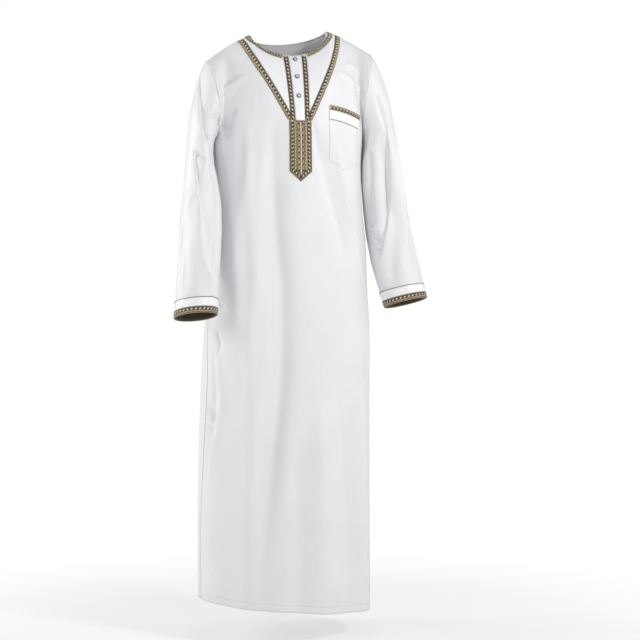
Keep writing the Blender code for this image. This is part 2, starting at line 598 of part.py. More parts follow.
def chest_inset(name, hand, surface, v_inner, look):
    """The bright cloth between the neck braid, the placket braid and a V braid."""
    neck = neck_line(BRAID_NECK + TRIM_SEAM)
    along_neck = neck[:NECK_POINTS][::-1] if hand > 0 else neck[-NECK_POINTS:]
    along_neck[0] = along_neck[0] * (1.0 - SEAM_SIDE) + along_neck[1] * SEAM_SIDE
    heights = placket_heights(hand)
    heights = heights[(heights < along_neck[-1][2] - 0.004) & (heights > INSET_END)]
    distance = placket_edge(heights, True) + TRIM_SEAM
    beside_placket = front_line(surface, zip(CENTRE_X + hand * distance, heights))
    near = np.concatenate([along_neck[:-1], beside_placket])
    kept = v_inner[v_inner[:, 1] > INSET_END - 0.001].copy()
    kept[:, 0] -= hand * TRIM_SEAM * 1.3
    far = resample(front_line(surface, kept), len(near))
    trim("chest_inset_" + name, surface, near, far, 3, look)


def pocket(surface, looks):
    """A patch pocket on the wearer's left chest, with its mouth band and braid."""
    mouth = resample(POCKET_MOUTH, 12)
    edges = [0.0, POCKET_BRAID, POCKET_BRAID + SEAM_GAP, POCKET_BRAID + POCKET_BAND]
    lines = []
    for distance in edges:
        line = beside(mouth, distance)
        if line[0, 1] > mouth[0, 1]:
            line = beside(mouth, -distance)
        lines.append(front_line(surface, line))
    trim("pocket_braid", surface, lines[0], lines[1], 1, looks["braid"])
    trim("pocket_band", surface, lines[2], lines[3], 2, looks["bright"])
    top = beside(mouth, edges[3] + SEAM_GAP)
    if top[0, 1] > mouth[0, 1]:
        top = beside(mouth, -edges[3] - SEAM_GAP)
    top = top[:-1]
    share = np.linspace(-1.0, 1.0, len(top))
    bottom = np.stack([top[:, 0], POCKET_BOTTOM - POCKET_POINT * (1.0 - np.abs(share)) ** 0.8], axis=1)
    trim("pocket_patch", surface, front_line(surface, top), front_line(surface, bottom), 9, looks["white"])


def buttons(placket, look):
    """Three round snap caps down the placket."""
    points = [vertex.co for vertex in placket.data.vertices]
    strip = BVHTree.FromPolygons(points, [tuple(face.vertices) for face in placket.data.polygons])
    for number, height in enumerate(BUTTON_HEIGHTS, start=1):
        seats = [strip.ray_cast(Vector((CENTRE_X + side, -1.0, height + rise)), Vector((0.0, 1.0, 0.0)))
                 for side in (-BUTTON_RADIUS / 2, BUTTON_RADIUS / 2)
                 for rise in (-BUTTON_RADIUS / 2, BUTTON_RADIUS / 2)]
        place = sum((seat[0] for seat in seats), Vector()) / len(seats)
        out = sum((seat[1] for seat in seats), Vector()).normalized()
        bpy.ops.mesh.primitive_cylinder_add(vertices=16, radius=BUTTON_RADIUS, depth=BUTTON_THICK)
        cap = bpy.context.object
        cap.name = f"button_{number}"
        cap.location = place + out * (BUTTON_GAP + BUTTON_THICK / 2)
        cap.rotation_mode = "QUATERNION"
        cap.rotation_quaternion = out.to_track_quat("Z", "Y")
        edge = cap.modifiers.new("rounded edge", "BEVEL")
        edge.width = 0.0006
        edge.segments = 1
        cap.data.materials.append(look)
        for home in cap.users_collection:
            home.objects.unlink(cap)
        bpy.data.collections["thobe robe"].objects.link(cap)


def clear_scene():
    for thing in list(bpy.data.objects):
        bpy.data.objects.remove(thing)


def main():
    clear_scene()
    collection("thobe robe")
    looks = {
        "white": material("white satin", (0.86, 0.87, 0.88), 0.42),
        "bright": material("bright satin", (0.93, 0.94, 0.95), 0.30),
        "braid": material("khaki braid", (0.40, 0.31, 0.17), 0.60),
        "snap": material("snap metal", (0.62, 0.61, 0.60), 0.28, 0.9),
    }
    body_panel("front", 1, FRONT_COLUMNS, FRONT_ROWS_DOWN, looks["white"])
    body_panel("back", -1, BACK_COLUMNS, BACK_ROWS_DOWN, looks["white"])
    sleeve("right", -1, SLEEVE_RIGHT, FOLDS_RIGHT, looks)
    sleeve("left", 1, SLEEVE_LEFT, FOLDS_LEFT, looks)
    surface = body_surface()
    chest_trims(surface, looks)
    pocket(surface, looks)


main()
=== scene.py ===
import math

import bpy
import numpy as np
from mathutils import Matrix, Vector
from mathutils.bvhtree import BVHTree


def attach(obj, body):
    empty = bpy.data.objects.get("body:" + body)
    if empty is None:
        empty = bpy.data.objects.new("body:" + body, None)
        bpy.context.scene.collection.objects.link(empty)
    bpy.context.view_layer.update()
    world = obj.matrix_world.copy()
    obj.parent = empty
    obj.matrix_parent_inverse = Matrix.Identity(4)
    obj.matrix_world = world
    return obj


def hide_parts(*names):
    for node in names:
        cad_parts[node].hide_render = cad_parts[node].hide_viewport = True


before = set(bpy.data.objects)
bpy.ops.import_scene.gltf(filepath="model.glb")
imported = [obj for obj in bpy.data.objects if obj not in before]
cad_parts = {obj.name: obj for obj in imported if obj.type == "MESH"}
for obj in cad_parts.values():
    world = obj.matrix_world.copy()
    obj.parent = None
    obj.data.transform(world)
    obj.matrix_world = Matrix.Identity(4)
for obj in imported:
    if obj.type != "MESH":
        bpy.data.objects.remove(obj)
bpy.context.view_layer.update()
print("frame loaded:", len(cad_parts), "nodes")

# The cut of the body, in metres. z is 0 at the shoulder points, the front faces -Y.
robe = {
    "length": 1.438,
    "neckHalf": 0.098,
    "neckDrop": {1: 0.0645, -1: 0.016},      # 1 is the front, -1 the back
    "neckReach": {1: 0.06, -1: 0.066},
    "shoulderHalf": 0.213,
    "shoulderDrop": 0.062,
    "underarm": 0.27,
    "armholeReach": {1: 0.066, -1: 0.072},
    "neckEase": 0.26,                        # easing of the turn at the neck's corners, down the back
    "neckShare": 0.32,                       # share of a panel's half width that ends on the neckline
    "cloth": 0.0007,
    "centre": 0.0015,                        # the placket hangs a little to the wearer's left
    "foldFade": 0.34,                        # share of a long fold's length over which it runs out
    "foldEase": 0.04,                        # how far its bends are eased
    "creaseDepth": 1.6,
    "sleeveDegree": 0.00092,                 # one degree round a sleeve, for its creases
    "neckCurve": 1.3,                        # roundness of the fall from the neckline to the chest
    "shoulderCurve": 1.75,
    "shoulderRound": 0.25,
    "armholeStart": (0.62, 0.37),            # where the turn to the armhole begins, and how far it closes up
    "armholeDip": 0.013,
    # slope, where it is level, where its change of height starts and how far that runs. The right shoulder
    # hangs low, and the hem is high on that side.
    "leanTop": (0.095, 0.053, 0.15, 0.45),
    "leanHem": (-0.088, -0.02, 0.75, 0.69),
    "sleeveGap": 0.0003,
    "sleeveRadius": 0.053,                   # for the weave's width round a sleeve
    "sleeveGrid": (176, 190),
}

# z, half width, front depth, back depth and centre x in millimetres, seam shift right and left in degrees
sections = (
    (-270, 194, 124, 118, 0, 0, 0),
    (-340, 188, 126, 118, 0, 0, 0),
    (-430, 188, 125, 112, 2, 0, 0),
    (-540, 199, 124, 112, 4, 2, 0),
    (-650, 204, 126, 120, 2, 5, 0),
    (-750, 213, 130, 130, 0, 9, 1),
    (-880, 216, 140, 140, -4, 14, 2),
    (-1020, 218, 150, 150, -7, 12, 2),
    (-1230, 219.5, 164, 162, -9, 6, 2),
    (-1438, 219, 172, 170, -8, 3, 2),
)
sections = np.array(sections) / (1000, 1000, 1000, 1000, 1000, 1, 1)

# Long folds, in millimetres: height (below 0 is a valley), half width, then x and z of each place passed
frontFolds = (
    (-8.5, 26, -55, -250, -57, -350, -59, -470, -50, -580, -44, -730, -55, -870, -68, -980, -98, -1220),
    (8.5, 36, 62, -900, 54, -1100, 50, -1300, 49, -1440),
    (-5, 20, 40, -270, 82, -360, 103, -470, 116, -600),
    (4.5, 18, 84, -260, 97, -340, 114, -400, 140, -490, 167, -610),
    (6, 17, -118, -300, -140, -450, -150, -620, -146, -800),
    (4.5, 16, -90, -280, -100, -440, -98, -600, -92, -740),
    (8, 26, -118, -860, -128, -1050, -134, -1250, -136, -1440),
    (-7, 24, 112, -880, 120, -1060, 124, -1260, 126, -1440),
    (6, 20, 158, -800, 164, -1000, 168, -1220, 170, -1440),
    (-6, 24, -10, -1020, -12, -1200, -14, -1440),
)
backFolds = (
    (-8, 28, 8, -240, 4, -420, 0, -620, 10, -840),
    (6, 24, -98, -280, -90, -440, -74, -620, -66, -800),
    (5.5, 22, 104, -260, 92, -420, 80, -600, 70, -760),
    (9, 28, -122, -880, -118, -1080, -112, -1280, -110, -1440),
    (8, 26, 20, -920, 14, -1120, 6, -1300, 0, -1440),
    (9, 30, 128, -860, 124, -1060, 122, -1260, 126, -1440),
    (-7, 22, -52, -980, -52, -1200, -50, -1440),
    (-7, 22, 72, -1000, 68, -1220, 66, -1440),
)


def smooth(t):
    t = np.clip(t, 0.0, 1.0)
    return t * t * (3.0 - 2.0 * t)


def unit(ways):
    return ways / np.linalg.norm(ways, axis=-1, keepdims=True)


# How far each point of a line is along it
def lengthsAlong(points):
    return np.concatenate([[0.0], np.cumsum(np.linalg.norm(np.diff(points, axis=0), axis=1))])


def lineLength(points):
    return np.linalg.norm(np.diff(points, axis=0), axis=1).sum()


def turnsRound(sides):
    return 2 * np.pi * np.arange(sides) / sides


def fromTable(z, rows, column, reach=0.03):
    heights = -np.array([row[0] for row in rows])
    values = np.array([row[column] for row in rows])
    steps = np.linspace(-reach, reach, 7)
    return sum(np.interp(-z + step, heights, values) for step in steps) / len(steps)


def lean(x, z):
    top, topLevel, topStart, topRun = robe["leanTop"]
    hem, hemLevel, hemStart, hemRun = robe["leanHem"]
    return (top * (x - topLevel) * (1.0 - smooth((-z - topStart) / topRun))
            + hem * (x - hemLevel) * smooth((-z - hemStart) / hemRun))


def longFolds(x, z, folds):
    total = np.zeros_like(x)
    for height, halfWidth, *places in folds:
        places = np.reshape(places, (-1, 2)) / 1000
        top, low = -places[0, 1], -places[-1, 1]
        centre = fromTable(z, places[:, ::-1], 1, robe["foldEase"])
        fade = robe["foldFade"] * (low - top)
        body = smooth((-z - top) / fade + 0.3)
        if low < robe["length"]:
            body = body * smooth((low + z) / fade + 0.3)
        total = total + height / 1000 * np.exp(-((x - centre) / halfWidth * 1000) ** 2) * body
    return total


# Small creases, in millimetres: height, half width, sharpness (2 is soft, 1 is pinched), then two numbers
# for each place passed: across the cloth and along it. A crease is deepest a third of the way along and runs
# out at both ends. Two half widths make a lapped fold, steep on one side.
def creases(p, q, rows):
    total = np.zeros_like(p)
    for height, halfWidth, sharpness, *places in rows:
        places = np.reshape(places, (-1, 2)) / 1000
        lengths = lengthsAlong(places)
        first, second = np.broadcast_to(np.array(halfWidth) / 1000, 2)
        best = np.full(p.shape, np.inf)
        share = np.zeros_like(p)
        width = np.full(p.shape, first)
        for k in range(len(places) - 1):
            (ap, aq), (bp, bq) = places[k], places[k + 1]
            step = lengths[k + 1] - lengths[k]
            along = np.clip(((p - ap) * (bp - ap) + (q - aq) * (bq - aq)) / step ** 2, 0.0, 1.0)
            away = np.hypot(p - ap - along * (bp - ap), q - aq - along * (bq - aq))
            nearer = away < best
            best = np.where(nearer, away, best)
            share = np.where(nearer, (lengths[k] + along * step) / lengths[-1], share)
            turn = (bp - ap) * (q - aq) - (bq - aq) * (p - ap)
            width = np.where(nearer, np.where(turn > 0.0, first, second), width)
        width = width * (0.45 + 0.55 * np.sin(np.pi * share) ** 0.7)
        body = np.sin(np.pi * np.clip(share, 0.0, 1.0) ** 0.75) ** 0.8
        total = total + height / 1000 * robe["creaseDepth"] * body * np.exp(-(best / width) ** sharpness)
    return total


def topLine(side, u):
    share = np.clip(np.abs(u) / robe["neckShare"], 0.0, 1.0)
    angle = share * np.pi / 2
    seam = np.clip((np.abs(u) - robe["neckShare"]) / (1.0 - robe["neckShare"]), 0.0, 1.0)
    width = robe["shoulderHalf"] - robe["neckHalf"]
    x = np.sign(u) * (robe["neckHalf"] * np.sin(angle) + width * seam)
    z = -robe["neckDrop"][side] * np.cos(angle) ** 1.15 - robe["shoulderDrop"] * seam ** 1.3
    return x, robe["neckReach"][side] * np.cos(angle), z


def ring(side, u, z):
    half = fromTable(z, sections, 1)
    depth = fromTable(z, sections, 2 if side > 0 else 3)
    other = fromTable(z, sections, 3 if side > 0 else 2)
    middle = fromTable(z, sections, 4)
    shiftRight = np.radians(fromTable(z, sections, 5))
    shiftLeft = np.radians(fromTable(z, sections, 6))
    angle = u * np.pi / 2 + np.where(u < 0, shiftRight, -shiftLeft) * np.abs(u) * side
    cosine = np.cos(angle)
    reach = np.where(cosine < 0, other, depth)
    return middle + half * np.sin(angle), reach * np.sign(cosine) * np.abs(cosine) ** 0.94


def outward(x, y, z):
    low = np.minimum(z, -robe["underarm"])
    half = fromTable(low, sections, 1)
    depth = fromTable(low, sections, 2)
    rise = np.clip(z + robe["underarm"], 0.0, None) / robe["shoulderRound"] ** 2
    return unit(np.stack([x / half ** 2, y / depth ** 2, rise], axis=-1))


frontCreases = (
    # over the chest from the right shoulder, then from its armpit
    (4, (4, 10), 1.5, -187.4, -137.9, -159.9, -127.8, -137.7, -116, -119, -108.3),
    (3, 5, 1.5, -181, -157.3, -160.4, -145.7, -142.6, -138.8),
    (4.2, (4, 9), 1.4, -169, -214, -160.2, -200.5, -140, -195),
    (3.4, 5, 1.4, -186, -195, -185.9, -230.3, -174.5, -276),
    (-8, (6, 15), 1.4, -145.9, -197.5, -160.4, -205.7, -169.4, -229.9, -175.9, -276.9),
    (-2.4, 13, 2.0, -170.7, -211.1, -171.4, -268.3, -173.5, -332.3, -170.6, -425.2, -168.2, -529.9),
    (4.2, (4, 8), 1.3, -188, -80, -188.5, -128, -187, -178),
    # from the left shoulder
    (3.8, 9, 1.6, 138.9, -88.3, 162.7, -105.8, 179.4, -125.7),
    (3.2, 8, 1.6, 168.7, -152.7, 183.6, -172.5, 187.5, -189.6),
    (3.4, 8, 1.6, 116.2, -113.8, 152.1, -138.4, 180.3, -159.1),
    (-4.4, 6, 1.4, 193, -95, 189, -147.3, 185, -204.5),
    # down the chest and the middle
    (3, 7, 1.5, 84.1, -251.3, 102.3, -340.3, 122.6, -433.6, 150, -527, 192.6, -652.5),
    (-3.6, 12, 2.0, 31.4, -234.4, 57.9, -345.9, 91.6, -456.9, 122.3, -553.2),
    (-6.6, (18, 44), 1.6, -64, -230, -69, -340, -64, -450, -56, -560, -43, -660, -48, -780, -58, -900,
        -69, -1020, -84, -1140, -100, -1260),
    (4.5, 15, 2.0, -126.2, -223.7, -120.8, -430.8, -110.3, -632.1, -123.8, -801.4, -136.7, -973.7),
    # below the pocket's mouth
    (-4.2, (30, 7), 1.5, 93.3, -241.7, 101.1, -284.7, 112.2, -328.5, 124.2, -384, 136.3, -445.3),
    # beside the right side seam
    (-3.6, 6, 1.4, -193.7, -678.8, -182.6, -693.4, -175.1, -710.9),
    (-3.6, 6, 1.4, -193.6, -751.8, -188.7, -789.8, -195.4, -827.7),
    (4, 8, 1.6, -196.6, -789.8, -192.3, -877.3, -186.2, -926.9, -195.7, -1002.8, -207.9, -1055.2,
        -217.4, -1131),
    (-3.4, 6, 1.4, -200.7, -801.4, -198.6, -903.6, -203.1, -976.5, -215.6, -1081.5, -220.9, -1154.3),
    (-3, 6, 1.4, -215.3, -953.2, -205, -967.8, -193.3, -985.3),
    (-3, 6, 1.4, -215.9, -988.2, -207.5, -1002.8, -198.1, -1020.3),
    (-2.8, 6, 1.4, -213.8, -929.8, -206.5, -953.2, -203.2, -991.1),
    # the skirt
    (2.2, 22, 2.0, 40.1, -924.1, 45.7, -1067.1, 48.2, -1210.1, 47.2, -1402.8),
    (-2.6, 24, 2.0, 92, -827.7, 99.9, -1020.4, 102.6, -1213.1, 103.2, -1405.9),
    (3, 18, 2.0, 165.5, -754.7, 165.5, -973.5, 166.2, -1215.5, 163.9, -1408.5),
    (-5, 24, 2.0, -34.2, -751.8, -43.4, -874.4, -65.5, -997.1, -81.4, -1119.7, -92.9, -1216,
        -103.9, -1315.3, -109.6, -1411.8),
)
backCreases = (
    (3.8, 10, 1.6, -176, -156, -150, -150, -118, -160),
    (3.6, 10, 1.6, 178, -150, 146, -148, 112, -164),
    (-3.6, 14, 1.8, -164, -210, -156, -270, -150, -360, -156, -470),
    (-3.6, 14, 1.8, 166, -200, 158, -270, 150, -350, 154, -460),
    (3.6, 13, 2.0, -40, -240, -52, -420, -46, -600),
    (-2.6, 10, 1.6, 90, -560, 30, -590, -40, -578),
    (-2.4, 10, 1.6, -110, -630, -50, -660, 20, -650),
    (-3.4, 7, 1.4, -190, -720, -174, -750, -150, -764),
    (4, 9, 1.6, 188, -790, 178, -890, 186, -1010),
    (-4.4, 20, 2.0, -18, -820, -16, -1040, -12, -1260, -14, -1410),
    (4, 16, 2.0, -164, -840, -162, -1060, -160, -1280),
    (4, 16, 2.0, 170, -940, 166, -1140, 168, -1360),
)


def panel(side, u, v, fine=True):
    u, v = np.broadcast_arrays(np.asarray(u, float), np.asarray(v, float))
    up = np.clip(v, 0.0, 1.0)
    down = np.clip(v - 1.0, 0.0, 1.0)
    fall = (1.0 - np.cos(np.pi * up)) / 2
    if side > 0:
        topX, topY, topZ = topLine(side, u)
    else:
        near = np.exp(-((np.abs(u) - robe["neckShare"]) / 0.18) ** 2)
        reach = robe["neckEase"] * near * smooth(up / 0.16)
        steps = np.linspace(-1.0, 1.0, 15)
        shares = (1.0 + np.cos(np.pi * steps)) / np.sum(1.0 + np.cos(np.pi * steps))
        eased = [np.array(topLine(side, u + step * reach)) * share for step, share in zip(steps, shares)]
        topX, topY, topZ = sum(eased)
    z = topZ + (-robe["underarm"] - topZ) * fall - (robe["length"] - robe["underarm"]) * down
    ringX, ringY = ring(side, u, np.minimum(z, -robe["underarm"]))
    x = topX + (ringX - topX) * smooth(fall)
    low, high = robe["neckCurve"], robe["shoulderCurve"]
    curve = low + (high - low) * smooth(np.abs(u) / robe["neckShare"])
    depth = (1.0 - (1.0 - fall) ** curve) ** (1 / curve)
    y = topY + (ringY - topY) * depth
    first, further = robe["armholeStart"]
    start = first + further * smooth((up - 0.55) / 0.45)
    edge = smooth((np.abs(u) - start) / (1.0 - start))
    edgeY = robe["armholeReach"][side] * np.sin(np.pi * up) ** (0.9 + 0.35 * smooth(2.0 * up - 1.0))
    dip = -robe["armholeDip"] * np.sin(np.pi * up) ** 2 * np.sign(u)
    above = v < 1.0
    y = np.where(above, y + (edgeY - y) * edge, y)
    x = np.where(above, x + dip * edge, x)
    lift = longFolds(x, z, frontFolds if side > 0 else backFolds)
    lift = lift * (1.0 - smooth((np.abs(u) - 0.8) / 0.2))
    if fine:
        edges = 1.0 - smooth((np.abs(u) - 0.97) / 0.03)
        lift = lift + creases(x, z, frontCreases if side > 0 else backCreases) * edges
    out = outward(x, -side * y, z)
    return np.stack([x, -side * y, z + lean(x, z)], axis=-1) + out * lift[..., None]


# Sleeve stations, in millimetres: outer line x, z; inner line x, z; forward centre; forward half depth;
# front lift
sleeves = {
    "right": {
        "hand": -1,
        "stations": (
            (213, -62, 194, -270, 0, 68, 0),
            (233, -91, 197.2, -276.5, 2, 68, 0),
            (243, -130, 197.5, -286, 6, 66, 0),
            (253, -190, 196, -302, 14, 64, 0),
            (261, -260, 192.5, -330, 26, 60, 0),
            (270, -335, 188, -375, 41, 56, 0),
            (280, -425, 184, -440, 58, 53, 2),
            (288, -500, 185, -505, 71, 52, 5),
            (296, -580, 191, -580, 84, 50, 8),
            (303, -655, 199, -652, 98, 49, 10),
            (309, -723.6, 205, -718, 108, 51, 11),
        ),
        # angle at the top and the end (0 outer line, 90 front), start, end, half width (degrees), height (mm)
        "folds": (
            (150, 60, 0.16, 0.44, 17, -6),
            (118, 30, 0.24, 0.52, 16, 5.5),
            (71, 76, 0.36, 0.68, 15, 6),
            (80, 128, 0.66, 0.93, 15, 5.5),
            (112, 104, 0.44, 0.78, 14, -5),
            (30, 44, 0.56, 0.92, 16, -4.5),
            (236, 292, 0.3, 0.58, 17, -6),
            (252, 226, 0.55, 0.92, 16, 5.5),
            (318, 306, 0.5, 0.88, 17, 5),
        ),
        "creases": (
            (5.2, (4, 9), 1.4, -12.9, 55.7, 5.5, 51.4, 29.4, 38.5, 55.7, 0),
            (-3.6, 7, 1.5, 4.1, 47.1, 31.3, 18.6, 60.3, 0),
            (-8.2, (5, 34), 1.4, -90.6, 35, -51.1, 60, -2.8, 95, 45, 145, 70, 255.5),
            (-5, 8, 1.4, -41.4, 168.4, -25.3, 157, -0.9, 155.6),
            (-6.4, (4, 28), 1.4, -45, 150, -20, 240, -0.5, 316.9, 19.8, 426.8, 43.7, 539.6),
            (-5.8, 10, 1.6, 14.3, 169.9, 33.6, 238.4, 38.6, 314, 34, 384, 26.7, 471.1),
            (3.2, 8, 1.7, 26.7, 443.9, 23.9, 492.5, 35.4, 539.6),
            (-3.4, 9, 1.7, -69, 318.3, -69, 395.4, -68.5, 469.6, -65.8, 523.9),
            (-4.6, 10, 1.6, 125, 120, 140, 200, 134, 300, 128, 420),
            (4, 10, 1.7, -130, 160, -120, 270, -126, 400, -120, 500),
            (-4, 8, 1.5, -120, 230, -95, 248, -76, 256),
        ),
    },
    "left": {
        "hand": 1,
        "stations": (
            (213, -62, 194, -270, 0, 68, 0),
            (240, -86, 197.2, -276.5, 2, 68, 0),
            (253, -125, 197, -286, 4, 66, 0),
            (264, -185, 195.5, -302, 8, 64, 0),
            (276, -255, 193, -330, 13, 61, 0),
            (289, -330, 191.5, -375, 18, 58, 0),
            (304, -420, 194.5, -440, 22, 55, 2),
            (316, -495, 201, -510, 27, 55, 4),
            (331, -570, 213, -585, 36, 54, 6),
            (344, -635, 232, -655, 45, 53, 8),
            (351, -674, 244, -695, 52, 54, 9),
        ),
        "folds": (
            (104, 92, 0.2, 0.66, 14, -8),
            (92, 132, 0.64, 0.93, 15, -7),
            (70, 62, 0.26, 0.72, 15, 5.5),
            (132, 122, 0.34, 0.7, 14, 4.5),
            (36, 52, 0.52, 0.9, 16, -4.5),
            (240, 286, 0.28, 0.6, 17, -6),
            (256, 232, 0.56, 0.92, 16, 5.5),
            (322, 312, 0.46, 0.86, 17, 5),
            (150, 156, 0.06, 0.5, 22, 8.5),
        ),
        "creases": (
            (-3.6, 8, 1.5, -6, 44.1, -3.7, 66.8, -7.8, 112.2),
            (5.6, (30, 4), 1.5, -14, 100, -7.4, 180.4, -1.8, 263.2, 14.7, 336.7, 37.3, 402.2, 74.1, 465),
            (-4, 6, 1.4, -4, 110, -0.4, 185, 6, 264, 21.5, 336, 43, 400),
            (3.6, (8, 4), 1.4, 39.1, 52.1, 56, 89.5, 69, 161.7),
            (4.2, 9, 1.6, 55.2, 331.4, 41.4, 342.1, 25.8, 350.1),
            (-3, 6, 1.5, -33.6, 56.1, -46.5, 66.8, -54.3, 74.8),
            (-4.2, 10, 1.7, 46.9, 113.6, 44.6, 208.4, 47.8, 304.7),
            (-3.6, 6, 1.5, 57, 356.8, 41.9, 370.1, 26.7, 367.5),
            (-3.4, 6, 1.5, 59.8, 382.2, 46.5, 392.8, 34, 392.8),
            (4.2, 11, 1.7, -38, 130, -34, 240, -26, 350, -20, 460),
            (-4.6, 10, 1.6, 125, 120, 138, 210, 134, 300, 126, 400),
            (4, 10, 1.7, -130, 150, -118, 260, -124, 390, -120, 470),
            (-4, 8, 1.5, -115, 220, -92, 240, -72, 246),
        ),
    },
}
for sleeve in sleeves.values():
    sleeve["stations"] = np.array(sleeve["stations"]) / 1000


def sleeveLengths(stations):
    middle = [((row[0] + row[2]) / 2, (row[1] + row[3]) / 2, row[4]) for row in stations]
    steps = [0.0] + [np.linalg.norm(np.subtract(b, a)) for a, b in zip(middle, middle[1:])]
    return np.cumsum(steps) / sum(steps), sum(steps)


def armhole(hand, angle):
    share = angle / np.pi
    front = panel(1, hand, np.clip(share, 0.0, 1.0), False)
    back = panel(-1, hand, np.clip(2.0 - share, 0.0, 1.0), False)
    return np.where((share <= 1.0)[..., None], front, back)


# A point of a sleeve and the way out there: s runs 0 to 1 down it, angle round it from the outer line
def sleevePoint(sleeve, s, angle):
    s, angle = np.broadcast_arrays(np.asarray(s, float), np.asarray(angle, float))
    hand = sleeve["hand"]
    places, length = sleeveLengths(sleeve["stations"])
    reach = 0.025 * smooth(s / 0.1) * smooth((1.0 - s) / 0.1)
    outX, outZ, inX, inZ, forward, half, lift = (
        sum(np.interp(s + step * reach, places, column) for step in np.linspace(-1.0, 1.0, 5)) / 5
        for column in sleeve["stations"].T)
    cosine, sine = np.cos(angle), np.sin(angle)
    x = hand * ((outX + inX) / 2 + (outX - inX) / 2 * cosine)
    z = (outZ + inZ) / 2 + (outZ - inZ) / 2 * cosine + lift * sine
    point = np.stack([x, -(forward + half * sine), z + lean(x, z)], axis=-1)
    start = smooth(s / 0.16)[..., None]
    point = armhole(hand, angle) * (1.0 - start) + point * start
    middleX, middleZ = hand * (outX + inX) / 2, (outZ + inZ) / 2
    middle = np.stack([middleX, -forward, middleZ + lean(middleX, middleZ)], axis=-1)
    way = unit(point - middle)
    height = np.zeros_like(s)
    for first, last, begin, end, width, rise in sleeve["folds"]:
        along = (s - begin) / (end - begin)
        middle = first + (last - first) * np.clip(along, 0.0, 1.0)
        turn = (np.degrees(angle) - middle + 180.0) % 360.0 - 180.0
        body = smooth((along + 0.1) * 3) * smooth((1.1 - along) * 3)
        height = height + rise / 1000 * np.exp(-(turn / width) ** 2) * body
    around = (np.degrees(angle) - 90.0 + 180.0) % 360.0 - 180.0     # degrees round from the front
    for wrapped in (0.0, 360.0, -360.0):
        height = height + creases((around + wrapped) * robe["sleeveDegree"], s * length, sleeve["creases"])
    return point + way * height[..., None], way


# Faces of a grid of points, as an array of four corners each
def gridFaces(rows, columns, closed, start=0, turned=False):
    i, j = np.meshgrid(np.arange(rows - 1), np.arange(columns if closed else columns - 1), indexing="ij")
    right = (j + 1) % columns
    near, far = i * columns, (i + 1) * columns
    faces = np.stack([near + j, far + j, far + right, near + right], axis=-1).reshape(-1, 4) + start
    return faces[:, ::-1] if turned else faces


def buildMesh(name, points, faces, look, places=None):
    mesh = bpy.data.meshes.new(name)
    mesh.from_pydata(points.tolist(), [], faces.tolist() if isinstance(faces, np.ndarray) else faces)
    mesh.update()
    if volumeOf(mesh) < 0:
        mesh.flip_normals()
    mesh.shade_smooth()
    mesh.materials.append(look)
    if places is not None:
        attribute = mesh.attributes.new("place", "FLOAT_VECTOR", "POINT")
        attribute.data.foreach_set("vector", places.astype(np.float32).ravel())
    made = bpy.data.objects.new(name, mesh)
    bpy.context.scene.collection.objects.link(made)
    return made


# Six times the volume, below 0 when the faces look inward
def volumeOf(mesh):
    count = len(mesh.vertices)
    points = np.empty(count * 3, np.float32)
    mesh.vertices.foreach_get("co", points)
    points = points.reshape(-1, 3).astype(float)
    mesh.calc_loop_triangles()
    corners = np.empty(len(mesh.loop_triangles) * 3, np.int32)
    mesh.loop_triangles.foreach_get("vertices", corners)
    a, b, c = (points[corners.reshape(-1, 3)[:, k]] for k in range(3))
    return float(np.einsum("ij,ij->i", a, np.cross(b, c)).sum())


# A thin closed shell between two grids. place keeps each point's own position across the cloth.
def shell(name, outer, inner, look, closed=False, place=None):
    rows, columns = outer.shape[:2]
    layer = rows * columns
    points = np.concatenate([outer.reshape(-1, 3), inner.reshape(-1, 3)])
    faces = [gridFaces(rows, columns, closed), gridFaces(rows, columns, closed, layer, True)]
    j = np.arange(columns if closed else columns - 1)
    right = (j + 1) % columns
    low = (rows - 1) * columns
    faces.append(np.stack([j, right, layer + right, layer + j], axis=-1))
    faces.append(np.stack([low + right, low + j, layer + low + j, layer + low + right], axis=-1))
    if not closed:
        a = np.arange(rows - 1) * columns
        b = a + columns
        faces.append(np.stack([b, a, layer + a, layer + b], axis=-1))
        a, b = a + columns - 1, b + columns - 1
        faces.append(np.stack([a, b, layer + b, layer + a], axis=-1))
    places = None
    if place is not None:
        places = np.concatenate([place.reshape(-1, 3)] * 2)
    return buildMesh(name, points, np.concatenate(faces), look, places)


def newMaterial(name, colour, roughness):
    made = bpy.data.materials.new(name)
    made.use_nodes = True
    shader = made.node_tree.nodes["Principled BSDF"]
    shader.inputs["Base Color"].default_value = (*colour, 1.0)
    shader.inputs["Roughness"].default_value = roughness
    return made, made.node_tree, shader


# Inputs are given by name, or by number as i0, i1 and so on
def addNode(tree, kind, settings=None, **inputs):
    node = tree.nodes.new(kind)
    for key, value in (settings or {}).items():
        setattr(node, key, value)
    for key, value in inputs.items():
        socket = node.inputs[int(key[1:])] if key[1:].isdigit() else node.inputs[key]
        if isinstance(value, bpy.types.NodeSocket):
            tree.links.new(value, socket)
        else:
            socket.default_value = value
    return node


def maths(tree, operation, first, second=0.0):
    return addNode(tree, "ShaderNodeMath", {"operation": operation}, i0=first, i1=second).outputs[0]


def objectPlace(tree):
    return addNode(tree, "ShaderNodeTexCoord").outputs["Object"]


# The base colour goes from dark to light as a pattern goes through its range
def twoTones(tree, shader, pattern, span, dark, light):
    share = addNode(tree, "ShaderNodeMapRange", i0=pattern, i1=span[0], i2=span[1]).outputs[0]
    mix = addNode(tree, "ShaderNodeMix", {"data_type": "RGBA"}, i0=share, i6=(*dark, 1.0), i7=(*light, 1.0))
    tree.links.new(mix.outputs[2], shader.inputs["Base Color"])


# Noise with its own scale each way
def stretchedNoise(tree, scale, detail):
    mapped = addNode(tree, "ShaderNodeMapping", i0=objectPlace(tree), Scale=scale).outputs[0]
    return addNode(tree, "ShaderNodeTexNoise", Vector=mapped, Scale=1.0, Detail=detail).outputs[0]


